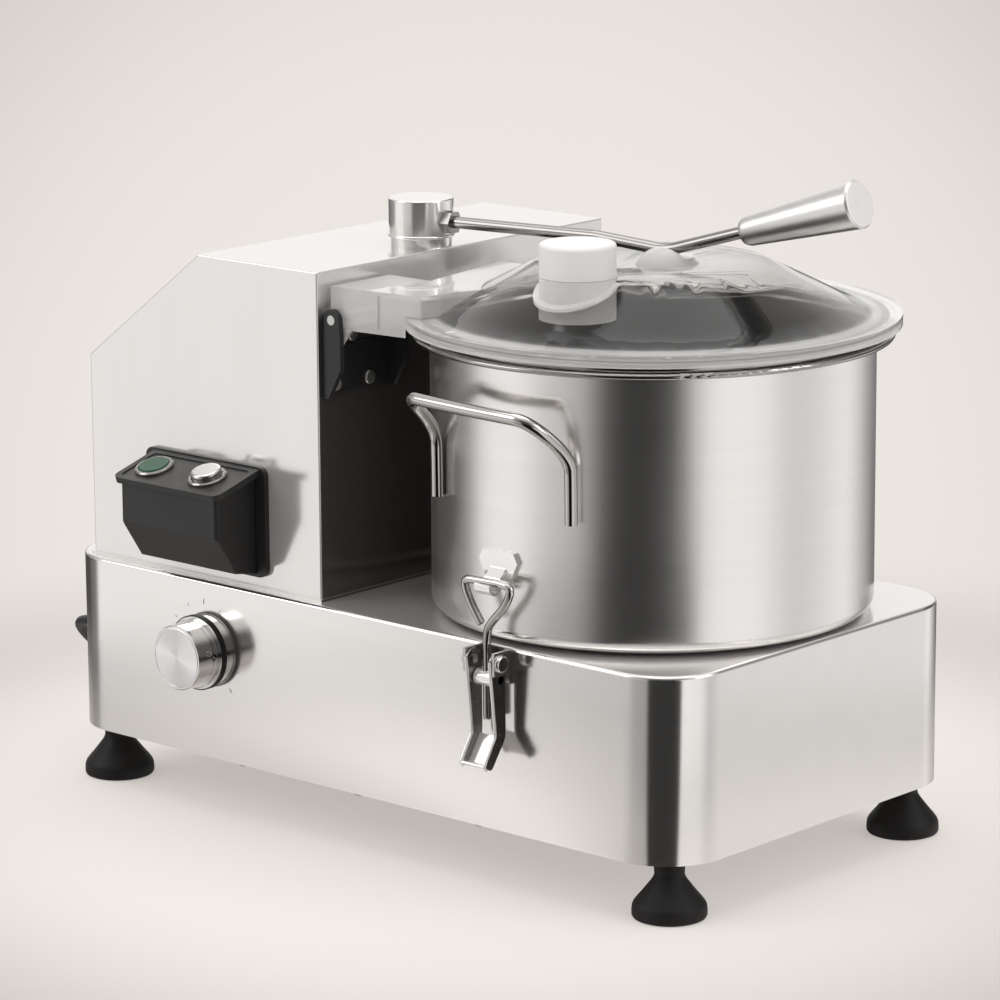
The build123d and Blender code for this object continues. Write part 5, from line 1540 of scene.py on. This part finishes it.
    def flag(self) -> None:
        """Lays a dark studio flag on the table, which only shiny faces see."""
        x, y = self.flag_corner
        shape = bmesh.new()
        near, far = [], []
        for step in range(33):
            turn = math.radians(-180.0 + 162.0 * step / 32)
            out = Vector((math.cos(turn), math.sin(turn), 0.0))
            near.append(shape.verts.new(Vector((x, y, 0.4 * MM)) + out * self.flag_reach[0]))
            far.append(shape.verts.new(Vector((x, y, 0.4 * MM)) + out * self.flag_reach[1]))
        for index in range(32):
            shape.faces.new([near[index], far[index], far[index + 1], near[index + 1]])
        data = bpy.data.meshes.new("dark_flag")
        shape.to_mesh(data)
        shape.free()
        flag = bpy.data.objects.new("dark_flag", data)
        bpy.context.scene.collection.objects.link(flag)
        material, wires, shader = new_material("black studio cloth")
        shader.inputs["Base Color"].default_value = (0.006, 0.006, 0.006, 1.0)
        shader.inputs["Roughness"].default_value = 1.0
        shader.inputs["Specular IOR Level"].default_value = 0.0
        place = wires.add("ShaderNodeTexCoord")
        split = wires.add("ShaderNodeSeparateXYZ")
        wires.join(place.outputs["Object"], split.inputs[0])
        bearing = wires.sum(
            "ARCTAN2",
            wires.sum("SUBTRACT", split.outputs["Y"], y),
            wires.sum("SUBTRACT", split.outputs["X"], x),
        )
        degrees = wires.sum("MULTIPLY", bearing, 180.0 / math.pi)
        cover = wires.span(degrees, *self.end_range, self.flag_end, 0.0)
        haze = wires.span(degrees, *self.haze_range, 0.0, self.flag_haze)
        cover = wires.sum("ADD", cover, haze)
        start, end = self.flag_range
        for low, high, amount in (
            (start - 2.0, start + 1.0, 1.0 - self.flag_haze),
            (end - 1.0, end + 2.0, -1.0),
        ):
            cover = wires.sum("ADD", cover, wires.span(degrees, low, high, 0.0, amount))
        wires.join(cover, shader.inputs["Alpha"])
        data.materials.append(material)
        flag.visible_camera = False
        flag.visible_diffuse = False
        flag.visible_transmission = False
        flag.visible_shadow = False

    def world(self) -> None:
        """Sets a pale background that darkens towards the edges of the view as painted vignette
        shade, with dark stretches that only shiny faces see.
        """
        world = bpy.data.worlds.new("studio")
        bpy.context.scene.world = world
        world.use_nodes = True
        wires = Wiring(world.node_tree)
        backdrop = world.node_tree.nodes["Background"]
        place = wires.add("ShaderNodeTexCoord")
        split = wires.add("ShaderNodeSeparateXYZ")
        wires.join(place.outputs["Generated"], split.inputs[0])
        bearing = wires.sum("ARCTAN2", split.outputs["Y"], split.outputs["X"])
        turn = wires.sum("MULTIPLY_ADD", bearing, 0.5 / math.pi, 0.5)
        low = self.bands(wires, turn, self.low_bands)
        high = self.bands(wires, turn, self.high_bands)
        above = wires.span(split.outputs["Z"], -0.08, 0.06, 0.0, 1.0)
        overhead = wires.span(split.outputs["Z"], *self.overhead_range, 0.0, 1.0)
        sides = wires.blend(above, low, high)
        shown = wires.blend(overhead, sides, self.overhead)
        light = wires.add("ShaderNodeLightPath")
        soft = wires.blend(light.outputs["Is Glossy Ray"], self.ambient, shown)
        camera, through = light.outputs["Is Camera Ray"], light.outputs["Is Transmission Ray"]
        seen = wires.sum("MAXIMUM", camera, through)
        # Painted vignette shade: the backdrop darkens away from the direction of view.
        ahead = wires.add("ShaderNodeVectorMath", operation="DOT_PRODUCT")
        wires.join(place.outputs["Generated"], ahead.inputs[0])
        ahead.inputs[1].default_value = self.ahead
        fade = wires.span(ahead.outputs["Value"], *self.painted_vignette_range, 1.0, 0.0)
        scenery = wires.blend(fade, self.pale, self.painted_vignette_colour)
        wires.join(wires.blend(seen, soft, scenery), backdrop.inputs["Color"])
        backdrop.inputs["Strength"].default_value = 1.0

    @staticmethod
    def bands(
        wires: Wiring, turn: bpy.types.NodeSocket, stops: Sequence[tuple[float, float]]
    ) -> bpy.types.NodeSocket:
        """Spreads light and dark stretches round the horizon.

        Args:
            wires: The world's wiring.
            turn: Bearing, from 0 to 1 for a whole turn.
            stops: Bearing and brightness pairs.

        Returns:
            The colour socket.
        """
        node = wires.add("ShaderNodeValToRGB")
        ramp = node.color_ramp
        ramp.elements[0].position = stops[0][0]
        ramp.elements[1].position = stops[-1][0]
        for position, _ in stops[1:-1]:
            ramp.elements.new(position)
        for element, (_, level) in zip(ramp.elements, stops):
            element.color = (level, level * 0.985, level * 0.97, 1.0)
        wires.join(turn, node.inputs[0])
        return node.outputs["Color"]

    def lamp(self, name: str, place: Point, size: tuple[float, float], power: float) -> None:
        """Adds a soft box that faces the object.

        Args:
            name: The lamp's name.
            place: Where it stands.
            size: Its width and height in metres.
            power: Its power in watts.
        """
        data = bpy.data.lights.new(name, "AREA")
        data.shape = "RECTANGLE"
        data.size, data.size_y = size
        data.energy = power
        lamp = bpy.data.objects.new(name, data)
        lamp.location = place
        aim = Vector((0.0, 0.0, 0.2)) - Vector(place)
        lamp.rotation_euler = aim.to_track_quat("-Z", "Y").to_euler()
        lamp.visible_camera = False
        bpy.context.scene.collection.objects.link(lamp)

    def build(self) -> None:
        """Sets up camera, floor, background and lamps."""
        self.camera()
        self.floor()
        self.flag()
        self.world()
        for name, place, size, power in self.lamps:
            self.lamp(name, place, size, power)
        scene = bpy.context.scene
        scene.view_settings.view_transform = "Standard"
        log.info("studio: camera, table top and three soft boxes")


def dress_nodes() -> None:
    """Gives each solid its finish and smooth shading."""
    for name, finish in WEAR.items():
        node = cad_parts[name]
        Wardrobe.dress(node, finish)
        smooth(node, round_by=ROUNDED.get(name, 0.0))
    log.info("finishes on %d pieces", len(WEAR))


def main() -> None:
    """Builds the pieces in order."""
    logging.basicConfig(level=logging.INFO, format="%(message)s")
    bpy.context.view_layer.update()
    dress_nodes()
    SpeedDial().build()
    LeverGrip().build()
    for end, side in (("front", 1.0), ("rear", -1.0)):
        LatchLever(f"{end}_lever", side).build()
        LatchWire(f"{end}_rod", side).build()
        BowlHandle(f"{end}_handle", side).build()
    BellFeet().build()
    LeadBoot().build()
    CoilTie().build()
    MainsLead().build()
    Studio().build()


if __name__ == "__main__":
    main()
